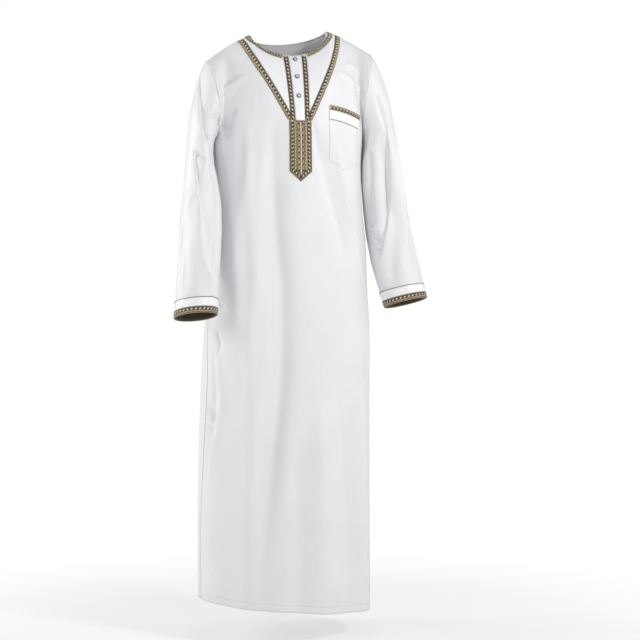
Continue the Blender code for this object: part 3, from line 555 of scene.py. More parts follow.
satin = {
    "colour": (0.795, 0.797, 0.812),
    "shade": (0.755, 0.758, 0.775),       # the faint darker slubs and the cloth's unevenness
    "roughness": 0.46,
    "thread": 0.0011,                     # width of a pair of threads
    "weaveDepth": 0.00006,
    "wrinkleDepth": 0.0011,
    "sheen": 0.25,
}
brightSatin = {
    "colour": (0.865, 0.868, 0.88),
    "shade": (0.835, 0.838, 0.852),
    "roughness": 0.3,
    "thread": 0.001,
    "weaveDepth": 0.00004,
    "wrinkleDepth": 0.0004,
    "sheen": 0.15,
}


# White satin: fine threads both ways, a soft unevenness of tone, and faint wrinkles
def clothMaterial(name, values):
    made, tree, shader = newMaterial(name, values["colour"], values["roughness"])
    place = addNode(tree, "ShaderNodeAttribute", {"attribute_name": "place"}).outputs["Vector"]
    split = addNode(tree, "ShaderNodeSeparateXYZ", i0=place)
    turn = 2 * math.pi / values["thread"]
    warp = maths(tree, "SINE", maths(tree, "MULTIPLY", split.outputs[0], turn))
    weft = maths(tree, "SINE", maths(tree, "MULTIPLY", split.outputs[1], turn))
    weave = maths(tree, "MULTIPLY", maths(tree, "MULTIPLY", warp, weft), 0.5)
    slub = stretchedNoise(tree, (90.0, 90.0, 1300.0), 2.0)
    cloud = addNode(tree, "ShaderNodeTexNoise", Vector=objectPlace(tree), Scale=9.0, Detail=4.0,
                    Roughness=0.55)
    tone = maths(tree, "ADD", maths(tree, "MULTIPLY", slub, 0.35),
                 maths(tree, "MULTIPLY", cloud.outputs[0], 0.65))
    twoTones(tree, shader, tone, (0.35, 0.65), values["shade"], values["colour"])
    wrinkle = stretchedNoise(tree, (26.0, 26.0, 7.0), 3.0)
    first = addNode(tree, "ShaderNodeBump", Height=wrinkle, Distance=values["wrinkleDepth"], Strength=1.0)
    second = addNode(tree, "ShaderNodeBump", Height=weave, Distance=values["weaveDepth"], Strength=1.0,
                     Normal=first.outputs[0])
    tree.links.new(second.outputs[0], shader.inputs["Normal"])
    shader.inputs["Sheen Weight"].default_value = values["sheen"]
    shader.inputs["Sheen Roughness"].default_value = 0.35
    shader.inputs["Anisotropic"].default_value = 0.3
    return made


# Woven thread in one colour, with its darker tone and a fine roughness of fibres. The same material in dark
# grey makes the painted shadow lines.
def threadMaterial(name, colour, dark, roughness=0.55):
    made, tree, shader = newMaterial(name, colour, roughness)
    noise = addNode(tree, "ShaderNodeTexNoise", Vector=objectPlace(tree), Scale=1400.0, Detail=2.0)
    twoTones(tree, shader, noise.outputs[0], (0.3, 0.7), dark, colour)
    bump = addNode(tree, "ShaderNodeBump", Height=noise.outputs[0], Distance=0.00025, Strength=0.8)
    tree.links.new(bump.outputs[0], shader.inputs["Normal"])
    shader.inputs["Sheen Weight"].default_value = 0.2
    return made


looks = {
    "satin": clothMaterial("whiteSatin", satin),
    "bright": clothMaterial("brightSatin", brightSatin),
    "khaki": threadMaterial("khakiThread", (0.41, 0.315, 0.168), (0.29, 0.22, 0.112)),
    "gold": threadMaterial("goldThread", (0.61, 0.485, 0.28), (0.45, 0.352, 0.19), 0.45),
    "umber": threadMaterial("umberThread", (0.112, 0.084, 0.047), (0.067, 0.05, 0.028), 0.6),
    "brown": threadMaterial("brownThread", (0.046, 0.03, 0.014), (0.024, 0.015, 0.007), 0.55),
    # shadow is no thread: a dark grey painted shadow for lines at the edges of the pocket band and the cuff
    # bands
    "shadow": threadMaterial("seamShadow", (0.16, 0.16, 0.17), (0.09, 0.09, 0.1), 0.7),
    "seam": threadMaterial("seamThread", (0.5, 0.5, 0.52), (0.4, 0.4, 0.42), 0.6),
    "cream": threadMaterial("creamThread", (0.88, 0.79, 0.58), (0.72, 0.63, 0.44), 0.45),
}
print("materials made")


bodyPanels = {
    "front": {"side": 1, "columns": 150, "rowsUp": 60, "rowsDown": 190, "edge": 0.9995},
    "back": {"side": -1, "columns": 120, "rowsUp": 44, "rowsDown": 150, "edge": 0.9995},
}


# The way out of the cloth at each point of a panel: its own inside the panel, the body's at the shared
# seams, and between the two at an armhole
def panelWays(side, grid, v):
    own = unit(side * np.cross(np.gradient(grid, axis=0), np.gradient(grid, axis=1)))
    share = smooth(v / 0.25) * (1.0 - smooth((v - 0.85) / 0.15))
    way = outward(grid[..., 0], grid[..., 1], grid[..., 2]) + own * share[:, None, None]
    way[1:-1, 1:-1] = own[1:-1, 1:-1]
    return unit(way)


def bodyPanel(name, values):
    side = values["side"]
    u = np.linspace(-values["edge"], values["edge"], values["columns"] + 1)
    v = np.concatenate([np.linspace(0.0, 1.0, values["rowsUp"] + 1),
                        1.0 + np.linspace(0.0, 1.0, values["rowsDown"] + 1)[1:]])
    outer = panel(side, u[None, :], v[:, None])
    inner = outer - panelWays(side, outer, v) * robe["cloth"]
    steps = np.linalg.norm(np.diff(outer, axis=1), axis=2)
    across = np.concatenate([np.zeros((len(v), 1)), np.cumsum(steps, axis=1)], axis=1)
    across -= across[:, len(u) // 2][:, None]
    place = np.stack([across, outer[..., 2], np.zeros_like(across)], axis=-1)
    return shell(name, outer, inner, looks["satin"], place=place)


def sleevePiece(name, sleeve):
    columns, rows = robe["sleeveGrid"]
    angles = 2 * np.pi / columns * np.arange(columns)
    s = np.linspace(0.0, 1.0, rows) ** 1.05
    outer, way = sleevePoint(sleeve, s[:, None], angles[None, :])
    outer[0, :, 0] += sleeve["hand"] * robe["sleeveGap"]
    across, along = angles[None, :] * robe["sleeveRadius"], s[:, None] * sleeveLengths(sleeve["stations"])[1]
    place = np.stack(np.broadcast_arrays(across, along, 0.0), axis=-1)
    return shell(name, outer, outer - way * robe["cloth"], looks["satin"], closed=True, place=place)


pieces = {}
for name, values in bodyPanels.items():
    pieces[name] = bodyPanel(name + "Cloth", values)
for name, sleeve in sleeves.items():
    pieces["sleeve_" + name] = sleevePiece("sleeveCloth" + name.capitalize(), sleeve)
print("body cloth made")


# The outer faces of the whole body, for sewing the trims on
def bodySurface():
    points, faces = [], []
    for name, values in bodyPanels.items():
        mesh = pieces[name].data
        rows, columns = values["rowsUp"] + values["rowsDown"] + 1, values["columns"] + 1
        start = len(points)
        points += [vertex.co.copy() for vertex in list(mesh.vertices)[:rows * columns]]
        faces += gridFaces(rows, columns, False, start).tolist()
    return BVHTree.FromPolygons(points, faces)


surface = bodySurface()


def seated(point):
    out = Vector(outward(*(np.array(value) for value in point)))
    start = Vector(point) + out * 0.02
    place = surface.ray_cast(start, -out, 0.06)[0]
    if place is None:
        place = surface.find_nearest(start)[0]
    return tuple(place), tuple(out)


def onFront(x, z):
    place = surface.ray_cast(Vector((x, -1.0, z)), Vector((0.0, 1.0, 0.0)))[0]
    if place is None:
        place = surface.find_nearest(Vector((x, -0.02, z)))[0]
    return tuple(place)


def frontLine(places):
    return np.array([onFront(x, z) for x, z in places])


def resample(points, count):
    points = np.array(points, float)
    lengths = lengthsAlong(points)
    steps = np.linspace(0.0, lengths[-1], count)
    return np.stack([np.interp(steps, lengths, points[:, k]) for k in range(points.shape[1])], axis=1)


def beside(points, distance):
    points = np.array(points, float)
    along = unit(np.gradient(points, axis=0))
    return points + distance * np.stack([along[:, 1], -along[:, 0]], axis=1)


# A strip of the surface between two lines: everything sewn on is laid out on one
def ribbon(first, second, across=6, cell=0.0025, aligned=False):
    middle = (np.array(first) + (np.array(second) if aligned else resample(second, len(first)))) / 2
    length = lineLength(middle)
    count = max(6, int(length / cell))
    first, second = (np.array(line) if aligned else resample(line, count) for line in (first, second))
    shares = np.linspace(0.0, 1.0, across + 1)
    seats = [[seated(tuple(a * (1.0 - share) + b * share)) for share in shares]
             for a, b in zip(first, second)]
    points = np.array([[seat[0] for seat in line] for line in seats])
    outs = np.array([[seat[1] for seat in line] for line in seats])
    return {"points": points, "outs": outs, "length": length,
            "width": np.linalg.norm(first - second, axis=1).mean(), "closed": False}


# A strip round a sleeve, from one share of its length to another
def sleeveBand(sleeve, start, end, columns=132, across=6):
    angles = 2 * np.pi / columns * np.arange(columns + 1)
    s = np.linspace(start, end, across + 1)
    points, outs = sleevePoint(sleeve, s[None, :], angles[:, None])
    length = lineLength(points[:, 0])
    width = np.linalg.norm(points[:, 0] - points[:, -1], axis=1).mean()
    return {"points": points, "outs": outs, "length": length, "width": width, "closed": True}


# The place on a strip s metres along it, a share t across it and some height off it
def onRibbon(strip, s, t, height):
    grid, outs = strip["points"], strip["outs"]
    a = np.clip(s / strip["length"], 0.0, 1.0) * (len(grid) - 1)
    b = np.clip(t, 0.0, 1.0) * (grid.shape[1] - 1)
    i, j = np.minimum(a.astype(int), len(grid) - 2), np.minimum(b.astype(int), grid.shape[1] - 2)
    a, b = (a - i)[..., None], (b - j)[..., None]

    def mixed(values):
        return ((values[i, j] * (1 - b) + values[i, j + 1] * b) * (1 - a)
                + (values[i + 1, j] * (1 - b) + values[i + 1, j + 1] * b) * a)

    return mixed(grid) + mixed(outs) * np.asarray(height)[..., None]


# A flat tape or panel on a strip, with its edges turned down to the cloth below
def tape(name, strip, look, height, rim=0.14):
    rows, columns = strip["points"].shape[:2]
    columns = max(columns, 9)
    s = np.linspace(0.0, strip["length"], rows)[:, None]
    t = np.linspace(0.0, 1.0, columns)[None, :]
    s, t = np.broadcast_arrays(s, t)
    crown = np.clip(np.minimum(t, 1.0 - t) / rim, 0.0, 1.0) ** 0.5
    outer = onRibbon(strip, s, t, height * (0.35 + 0.65 * crown))
    inner = onRibbon(strip, s, t, np.full(s.shape, -0.0002))
    place = np.stack([t * strip["width"], s, 0 * s], axis=-1)
    if strip["closed"]:
        outer, inner, place = (np.swapaxes(grid[:-1], 0, 1) for grid in (outer, inner, place))
    return shell(name, outer, inner, look, closed=strip["closed"], place=place)


# Threads gathered into one piece: each is a small closed bar lying on a strip
class Threads:
    def __init__(self, name):
        self.name, self.points, self.faces, self.looks, self.kinds = name, [], [], [], []
        self.count = 0

    def add(self, points, faces, look):
        if look not in self.kinds:
            self.kinds.append(look)
        self.points.append(points.reshape(-1, 3))
        self.faces += [tuple(index + self.count for index in face) for face in faces]
        self.looks += [self.kinds.index(look)] * len(faces)
        self.count += points.reshape(-1, 3).shape[0]

    # Bars at s, t, each of a length along its own direction, given as an angle from the strip's length
    def bars(self, strip, s, t, length, width, height, angle, look, lift):
        rings, sides = (-0.8, -0.35, 0.35, 0.8), 6
        full = (0.62, 1.0, 1.0, 0.62)
        turns = turnsRound(sides)
        along, over, up = [-1.0], [0.0], [0.0]
        for place, share in zip(rings, full):
            along += [place] * sides
            over += list(np.cos(turns) * share)
            up += list(np.sin(turns) * share)
        along, over, up = np.array(along + [1.0]), np.array(over + [0.0]), np.array(up + [0.0])
        s, t, angle = (np.broadcast_to(np.asarray(values, float), np.shape(s))[:, None]
                       for values in (s, t, angle))
        x, y = along[None] * length / 2, over[None] * width / 2
        points = onRibbon(strip, s + x * np.cos(angle) - y * np.sin(angle),
                          t + (x * np.sin(angle) + y * np.cos(angle)) / strip["width"],
                          lift + np.broadcast_to(up[None] * height / 2, (len(s), len(up))))
        last = len(along) - 1
        faces = [(0, 1 + (k + 1) % sides, 1 + k) for k in range(sides)]
        for ring in range(len(rings) - 1):
            start, end = 1 + ring * sides, 1 + (ring + 1) * sides
            faces += [(start + k, start + (k + 1) % sides, end + (k + 1) % sides, end + k)
                      for k in range(sides)]
        start = last - sides
        faces += [(last, start + k, start + (k + 1) % sides) for k in range(sides)]
        self.add(points, [tuple(index + n * (last + 1) for index in face)
                          for n in range(len(s)) for face in faces], look)

    # A plain cord the whole length of a strip, or a flat band when its depth is small
    def cord(self, strip, t, radius, look, lift, depth=1.0, step=0.0025):
        count, sides = max(8, int(strip["length"] / step)), 6
        turns = turnsRound(sides)
        ends = 0.0 if strip["closed"] else radius
        s = np.linspace(ends, strip["length"] - ends, count)[:, None]
        shrink = np.ones((count, 1))
        if not strip["closed"]:
            shrink[0] = shrink[-1] = 0.4
        over, up = (wave(turns)[None] * shrink * radius for wave in (np.cos, np.sin))
        points = onRibbon(strip, s + 0 * turns[None], t + over / strip["width"], lift + up * depth)
        faces = gridFaces(count, sides, True).tolist()
        faces += [tuple(range(sides))[::-1], tuple(range((count - 1) * sides, count * sides))]
        self.add(points, faces, look)

    def build(self):
        made = buildMesh(self.name, np.concatenate(self.points), self.faces, looks[self.kinds[0]])
        for kind in self.kinds[1:]:
            made.data.materials.append(looks[kind])
        for polygon, index in zip(made.data.polygons, self.looks):
            polygon.material_index = index
            polygon.use_smooth = True
        return made


threadWork = {}
extras = []                  # (node, piece) of what is sewn on besides


# neck_braid becomes neckBraid
def pieceName(node):
    first, *others = node.split("_")
    return first + "".join(word.capitalize() for word in others)


def lay(node, strip, look, height, name="", **shape):
    pieces[node] = tape(name or pieceName(node), strip, looks[look], height, **shape)


# A woven braid: khaki tape, an umber cord at each edge, and a dark band with cream and brown lozenges on it
braid = {
    "height": 0.0014,
    "pitch": 0.01,              # one cream and one brown lozenge
    "lozenge": (0.006, 0.0033, 0.0016),
    "slant": 0.62,
    "cord": 0.00085,
    "bandDepth": 0.12,
    "bandWidth": 0.0062,        # of the band that the lozenges fill, and they shrink on a narrower one
    "lift": 0.0003,
    "rib": (0.0011, 0.0007),    # width and thickness
    "ribPitch": 0.0021,
    "ribLeast": 0.0009,         # a border narrower than this has no ribs
}


# core is the middle and the width of the dark band, as shares of the strip's width; turn is 1 or -1,
# the way its lozenges slant
def sewBraid(node, strip, core, turn, pitch=1.0):
    lay(node, strip, "khaki", braid["height"])
    threads = Threads(pieceName(node) + "Threads")
    width, length, top = strip["width"], strip["length"], braid["height"]
    for t in (braid["cord"] / width, 1 - braid["cord"] / width):
        threads.cord(strip, t, braid["cord"], "umber", top * 0.8)
    middle, share = core
    band = share * width
    threads.cord(strip, middle, band / 2, "umber", top, braid["bandDepth"])
    count = max(2, round(length / (braid["pitch"] * pitch)))
    s = (np.arange(count) + 0.25) * length / count
    long, wide, high = braid["lozenge"]
    fit = min(1.0, band / braid["bandWidth"])
    for look, start, narrow, flat in (("cream", 0.0, 1.0, 1.0), ("brown", length / count / 2, 0.95, 0.8)):
        threads.bars(strip, s + start, middle, long * fit, wide * fit * narrow, high * flat,
                     turn * braid["slant"], look, top + braid["lift"])
    sewRibs(threads, strip, middle - share / 2, middle + share / 2, turn)
    threadWork[node] = threads.build()


# Fine slanting ribs on the plain borders each side of a braid's band
def sewRibs(threads, strip, low, high, turn):
    count = int(strip["length"] / braid["ribPitch"])
    s = (np.arange(count) + 0.5) * strip["length"] / count
    edge = 2 * braid["cord"] / strip["width"]
    for start, end in ((edge, low), (high, 1.0 - edge)):
        reach = (end - start) * strip["width"]
        if reach > braid["ribLeast"]:
            threads.bars(strip, s, (start + end) / 2, reach * 1.25, *braid["rib"], turn, "gold",
                         braid["height"])


trims = {
    "neckBraid": 0.0115,
    "neckInset": 0.0006,         # from the cut neckline to the braid
    "neckPoints": 60,            # along each front half of the neckline
    "vBraid": 0.014,
    "placketBraid": 0.011,
    "placketTop": 0.0175,
    "placketLow": 0.012,
    "placketBottom": -0.2385,
    "panelHalf": 0.028,
    "panelShoulder": -0.3645,
    "panelTip": -0.389,
    "insetEnd": -0.208,
    "insetRim": 0.05,            # share of a side over which it turns down
    "flatTrim": 0.001,           # thickness of the placket and the insets
    "neckCore": (0.45, 0.44),    # dark band of each braid: middle and width, as shares
    "placketCore": (0.5, 0.66),
    "vCore": (0.6, 0.5),
    "neckPitch": 0.7,            # the neck braid's pattern is finer
    "seam": 0.0004,
}
vPath = ((0.126, -0.012), (0.112, -0.052), (0.094, -0.094), (0.072, -0.138),
         (0.048, -0.186), (0.03, -0.222), (0.0215, -0.238))


def placketEdge(z, outer):
    top = -robe["neckDrop"][1]
    share = np.clip((z - top) / (trims["placketBottom"] - top), 0.0, 1.0)
    edge = trims["placketTop"] + (trims["placketLow"] - trims["placketTop"]) * share + trims["seam"]
    return edge + trims["placketBraid"] if outer else edge


def neckLine(distance):
    count = trims["neckPoints"]
    gap = placketEdge(-robe["neckDrop"][1], True) + trims["seam"]
    share = robe["neckShare"]
    start = share * 2 / np.pi * np.arcsin((gap + robe["centre"]) / robe["neckHalf"])
    end = share * 2 / np.pi * np.arcsin((gap - robe["centre"]) / robe["neckHalf"])
    points = np.concatenate([
        panel(1, np.linspace(start, share, count), 0.0),
        panel(-1, np.linspace(share, -share, 2 * count - 1), 0.0)[1:],
        panel(1, np.linspace(-share, -end, count), 0.0)[1:]])
    along = np.gradient(points, axis=0)
    away = unit(np.cross(along, outward(*points.T)))
    sign = 1.0 if away[0] @ np.array([0.0, 0.0, 1.0]) < 0 else -1.0
    return points + away * sign * distance


def vEdges(hand):
    centre = resample(vPath, 60)
    drop = lean(hand * centre[:, 0] + robe["centre"], centre[:, 1])
    centre[:, 1] += drop * centre[:, 0] / vPath[0][0]
    side, other = beside(centre, trims["vBraid"] / 2), beside(centre, -trims["vBraid"] / 2)
    outer, inner = (side, other) if side[0, 0] > other[0, 0] else (other, side)
    inner[:, 0] = np.maximum(inner[:, 0], placketEdge(inner[:, 1], True) + trims["seam"])
    outer[-1, 1] = inner[-1, 1] = trims["placketBottom"]
    outer[-1, 0] = trims["panelHalf"]
    for edge in (outer, inner):
        edge[:, 0] = edge[:, 0] * hand + robe["centre"]
    return outer, inner


# Round the neck and down the chest
neckStrip = ribbon(neckLine(trims["neckInset"]), neckLine(trims["neckBraid"]))
sewBraid("neck_braid", neckStrip, trims["neckCore"], 1, trims["neckPitch"])


# Heights down one side of the placket, from the neckline there
def placketHeights(hand):
    drop = -robe["neckDrop"][1]
    top = drop + lean(robe["centre"] + hand * trims["placketTop"], drop) - 0.0015
    return np.linspace(top, trims["placketBottom"], 40)


def placketSide(hand, heights, outer, seam=0.0):
    return frontLine(zip(robe["centre"] + hand * (placketEdge(heights, outer) + seam), heights))


edges = [placketSide(hand, placketHeights(hand), False, -trims["seam"]) for hand in (-1, 1)]
lay("placket", ribbon(*edges), "bright", trims["flatTrim"], "placketCloth")
for name, hand in (("right", -1), ("left", 1)):
    heights = placketHeights(hand)
    side = [placketSide(hand, heights, outer) for outer in (False, True)]
    sewBraid("placket_braid_" + name, ribbon(*side), trims["placketCore"], hand)
    outer, inner = vEdges(hand)
    sewBraid("v_braid_" + name, ribbon(frontLine(outer), frontLine(inner)), trims["vCore"], hand)
    neck = neckLine(trims["neckBraid"] + trims["seam"])
    count = trims["neckPoints"]
    alongNeck = neck[:count][::-1] if hand > 0 else neck[-count:]
    kept = heights[(heights < alongNeck[-1][2] - 0.004) & (heights > trims["insetEnd"])]
    down = placketSide(hand, kept, True, trims["seam"])
    near = np.concatenate([alongNeck[4:-1], down])
    far = inner[inner[:, 1] > trims["insetEnd"] - 0.001].copy()
    far[:, 0] -= hand * trims["seam"] * 1.3
    strip = ribbon(near, frontLine(far), 12)
    lay("chest_inset_" + name, strip, "bright", trims["flatTrim"], rim=trims["insetRim"])
print("neck and chest trims made")


# The stiff panel under the placket, pointed at its end: a braid down each side and round the point,
# and inside it a herringbone each side of a cream cord
chestWork = {
    "border": 0.012,
    "innerTip": -0.3731,
    "innerRise": 0.0054,                       # of the inner corner above the panel's own
    "pathPoints": (56, 14),                    # down a side, and from its corner to the tip
    "height": 0.0014,
    "lift": 0.0016,
    # along the border: share across it, radius, lift, depth
    "borderCords": ((0.105, 0.0013, 0.0, 1.0), (0.955, 0.0005, 0.0, 1.0), (0.6, 0.0034, -0.0001, 0.1)),
    "pitch": 0.0097,                           # of the border's lozenges
    # start in pitches, colour, length, width
    "lozenges": ((0.25, "cream", 0.006, 0.0032), (0.75, "brown", 0.0062, 0.0034)),
    "lozenge": (0.6, 0.0016, 0.95),            # share across the border, thickness, slant
    "rib": (0.265, 0.002, 0.0011, 0.0009),     # share across the border, length, width, thickness
    "ribPitch": 0.0021,
    # cords each side of the middle: distance from it, radius, lift, depth
    "bands": (0.0093, 0.004, -0.0003, 0.1),
    "darkCords": (0.0025, 0.0006, 0.0, 1.0),
    # bars each side of the middle: distance from it, pitch, length, width, slant, colour, start in pitches
    "columns": (
        (0.011, 0.0036, 0.003968, 0.0016, -0.8, "gold", 0.5),
        (0.0076, 0.0036, 0.003968, 0.0016, 0.8, "gold", 0.5),
        (0.0137, 0.0072, 0.0036, 0.0018, 0.0, "cream", 0.4),
        (0.0093, 0.0072, 0.004, 0.0026, 0.5, "brown", 0.5),
        (0.0043, 0.0144, 0.005, 0.004, 0.0, "brown", 0.5),
        (0.0047, 0.0144, 0.0044, 0.0016, 0.5, "gold", 0.8),
        (0.0047, 0.0144, 0.0044, 0.0016, -0.5, "cream", 1.15),
    ),
    "barHeight": 0.0011,
    "creamCord": 0.0012,
    "knot": (0.0046, 0.0042, 0.0016),
    "knotPitch": 0.0144,
    "creamLift": 0.0004,
    "topBar": (0.0042, 0.0019, 0.0012),        # bars across the panel's top edge
}


# Points down one side of the panel, round its point and up the other
def panelPath(half, tip, slope):
    rows = chestWork["pathPoints"]
    top, corner = trims["placketBottom"] - trims["seam"], trims["panelShoulder"] + slope
    side = np.stack([np.full(rows[0], -half), np.linspace(top, corner, rows[0])], axis=1)
    point = np.stack([np.linspace(-half, 0.0, rows[1]), np.linspace(corner, tip, rows[1])], axis=1)[1:]
    down = np.concatenate([side, point])
    back = down[::-1][1:] * (-1.0, 1.0)
    return frontLine([(x + robe["centre"], z) for x, z in np.concatenate([down, back])])


# -1 before half of the length and 1 after it, so that the pattern is the same on both sides
def mirrored(s, length):
    return np.where(s < length / 2, -1.0, 1.0)


def sewBorder(threads, border):
    length, lift = border["length"], chestWork["lift"]
    for t, radius, rise, depth in chestWork["borderCords"]:
        threads.cord(border, t, radius, "umber", lift + rise, depth)
    number = np.arange(2 * round(length / chestWork["pitch"] / 2))
    count = len(number)
    t, thick, slant = chestWork["lozenge"]
    for start, look, long, wide in chestWork["lozenges"]:
        s = (number + np.where(number < count / 2, start, 1.0 - start)) * length / count
        threads.bars(border, s, t, long, wide, thick, mirrored(s, length) * slant, look, lift)
    count = int(length / chestWork["ribPitch"])
    s = (np.arange(count) + 0.5) * length / count
    threads.bars(border, s, *chestWork["rib"], mirrored(s, length), "gold", lift)


def sewField(threads, field, inner):
    length, width, lift = field["length"], field["width"], chestWork["lift"]

    def pairOfCords(away, radius, rise, depth):
        for side in (-1, 1):
            threads.cord(field, 0.5 + side * away / width, radius, "umber", lift + rise, depth)

    pairOfCords(*chestWork["bands"])
    # pairs of bars each side of the middle, as far down as the border leaves room
    for away, pitch, size, wide, slant, look, start in chestWork["columns"]:
        s = np.arange(start * pitch, length - 0.014 * away / inner - 0.0035, pitch)
        for side in (-1, 1):
            threads.bars(field, s, 0.5 + side * away / width, size, wide, chestWork["barHeight"],
                         side * slant, look, lift)
    pairOfCords(*chestWork["darkCords"])
    rise = lift + chestWork["creamLift"]
    threads.cord(field, 0.5, chestWork["creamCord"], "cream", rise)
    knots = np.arange(0.5 * chestWork["knotPitch"], length - 0.004, chestWork["knotPitch"])
    threads.bars(field, knots, 0.5, *chestWork["knot"], 0.0, "cream", rise)
    for t in np.linspace(0.06, 0.94, 9):
        threads.bars(field, np.array([0.0012]), t, *chestWork["topBar"], np.pi / 2, "umber", lift)


def chestPanel():
    top = trims["placketBottom"] - trims["seam"]
    rows = np.concatenate([np.linspace(top, trims["panelShoulder"], 50),
                           np.linspace(trims["panelShoulder"], trims["panelTip"], 14)[1:]])
    fall = (rows - trims["panelTip"]) / (trims["panelShoulder"] - trims["panelTip"])
    reach = trims["panelHalf"] * np.clip(fall, 0.03, 1.0)
    strip = ribbon(*(frontLine(zip(robe["centre"] + hand * reach, rows)) for hand in (-1, 1)), 14)
    lay("chest_panel", strip, "khaki", chestWork["height"], rim=0.06)
    threads = Threads("chestPanelThreads")
    inner = trims["panelHalf"] - chestWork["border"]
    border = ribbon(panelPath(trims["panelHalf"] - 0.0003, trims["panelTip"] + 0.0004, 0.0),
                    panelPath(inner, chestWork["innerTip"], chestWork["innerRise"]), 6, aligned=True)
    sewBorder(threads, border)
    rows = np.linspace(top - 0.0008, chestWork["innerTip"], chestWork["pathPoints"][0])
    field = ribbon(*(frontLine([(robe["centre"] + hand * inner, z) for z in rows]) for hand in (-1, 1)), 14,
                   aligned=True)
    field["width"] = 2 * inner
    sewField(threads, field, inner)
    threadWork["chest_panel"] = threads.build()


pocket = {
    "mouth": ((0.08, -0.196), (0.106, -0.1985), (0.132, -0.203), (0.156, -0.2085), (0.1745, -0.2133)),
    "braid": 0.011,
    "core": (0.6, 0.42),        # dark band of the braid: middle and width, as shares
    "band": 0.025,
    "bandHeight": 0.0012,
    "bottom": -0.333,
    "point": 0.022,
    "patchHeight": 0.0008,
    # radius and lift of the painted shadow lines round the band
    "seam": 0.0006,
    "shadowLineLift": 0.001,
    "gap": 0.0003,              # between one piece and the next
}


def sewPocket():
    mouth = resample(pocket["mouth"], 40)

    def below(distance):
        line = beside(mouth, distance)
        return line if line[0, 1] < mouth[0, 1] else beside(mouth, -distance)

    width, gap, seam = pocket["braid"], pocket["gap"], pocket["seam"]
    sewBraid("pocket_braid", ribbon(frontLine(mouth), frontLine(below(width))), pocket["core"], -1)
    strip = ribbon(frontLine(below(width + gap)), frontLine(below(width + pocket["band"])))
    lay("pocket_band", strip, "bright", pocket["bandHeight"])
    # painted shadow: dark grey lines along the band's lower edge and across its two ends, where the raised
    # band shades the patch
    threads = Threads("pocketBandThreads")
    threads.cord(strip, 1.0, seam, "shadow", pocket["shadowLineLift"])
    ends = np.array([seam, strip["length"] - seam])
    threads.bars(strip, ends, 0.5, strip["width"], seam * 1.6, seam, np.pi / 2, "shadow",
                 pocket["shadowLineLift"])
    threadWork["pocket_band"] = threads.build()
    top = below(width + pocket["band"] + gap)[:-2]
    share = np.linspace(-1.0, 1.0, len(top))
    low = pocket["bottom"] - pocket["point"] * (1.0 - np.abs(share)) ** 0.8
    strip = ribbon(frontLine(top), frontLine(np.stack([top[:, 0], low], axis=1)), 40)
    lay("pocket_patch", strip, "satin", pocket["patchHeight"], rim=0.03)


chestPanel()
sewPocket()

cuff = {
    "band": 0.023,
    "bandHeight": 0.0016,
    "braid": 0.014,
    "core": (0.41, 0.56),             # dark band of the braid: middle and width, as shares
    "end": 0.001,                     # from the braid to the sleeve's end
    "gap": 0.0003,                    # between one piece and the next
    # radius and lift of the painted shadow line along the band's top edge
    "seam": 0.0011,
    "shadowLineLift": 0.0012,
    "rim": 0.001,
    "rimWidth": 0.002,
    "facingAndShade": 0.045,                  # how far the dark inner face reaches up the sleeve: a brown facing, darkened as painted shade
    "facingAndShadeHeight": 0.0005,
}


def sewCuffs():
    for name, sleeve in sleeves.items():
        length = sleeveLengths(sleeve["stations"])[1]
        braidNode, bandNode, side = "cuff_braid_" + name, "cuff_band_" + name, name.capitalize()
        gap, low = cuff["gap"], 1.0 - cuff["end"] / length
        high = 1.0 - (cuff["braid"] + cuff["end"]) / length
        sewBraid(braidNode, sleeveBand(sleeve, high, low), cuff["core"], sleeve["hand"])
        # a dark brown facing inside the sleeve's end: the braid turned inside, and painted shade for the dark
        # mouth of the sleeve
        facingAndShade = sleeveBand(sleeve, 1.0 - cuff["facingAndShade"] / length, low)
        facingAndShade["points"] = facingAndShade["points"] - facingAndShade["outs"] * (robe["cloth"] + gap)
        facingAndShade["outs"] = -facingAndShade["outs"]
        extras.append((braidNode, tape("cuffFacingAndShade" + side, facingAndShade, looks["brown"], cuff["facingAndShadeHeight"])))
        # a cord round the sleeve's cut end, centred a little past it
        edge = sleeveBand(sleeve, 1.0 - cuff["rimWidth"] / length, 1.0)
        edge["points"] = edge["points"] + (edge["points"][:, -1:] - edge["points"][:, :1]) * 0.4
        threads = Threads("cuffRim" + side)
        threads.cord(edge, 0.45, cuff["rim"], "khaki", 0.0)
        extras.append((braidNode, threads.build()))
        strip = sleeveBand(sleeve, high - (cuff["band"] + gap) / length, high - gap / length)
        lay(bandNode, strip, "bright", cuff["bandHeight"], rim=0.06)
        # painted shadow: a dark grey cord along the band's top edge, where the band stands off the sleeve
        threads = Threads("cuffBandThreads" + side)
        threads.cord(strip, 0.0, cuff["seam"], "shadow", cuff["shadowLineLift"])
        threadWork[bandNode] = threads.build()


sewCuffs()
print("panel, pocket and cuffs made")


seams = {
    "radius": 0.00045,
    "stitch": (0.003, 0.0048, 0.00045),      # length, pitch, thickness
    "hemDepth": 0.018,
    "stripHalf": 0.001,
    "shoulderStart": 0.12,                   # how far outside the neckline's end the shoulder seam shows
}


# A narrow strip along points of the body, for a seam or a row of stitches
def seamStrip(points, outs):
    along = np.gradient(points, axis=0)
    across = unit(np.cross(along, outs))
    half = seams["stripHalf"]
    grid = np.stack([points - across * half, points, points + across * half], axis=1)
    return {"points": grid, "outs": np.stack([outs] * 3, axis=1), "length": lineLength(points),
            "width": 2 * half, "closed": False}


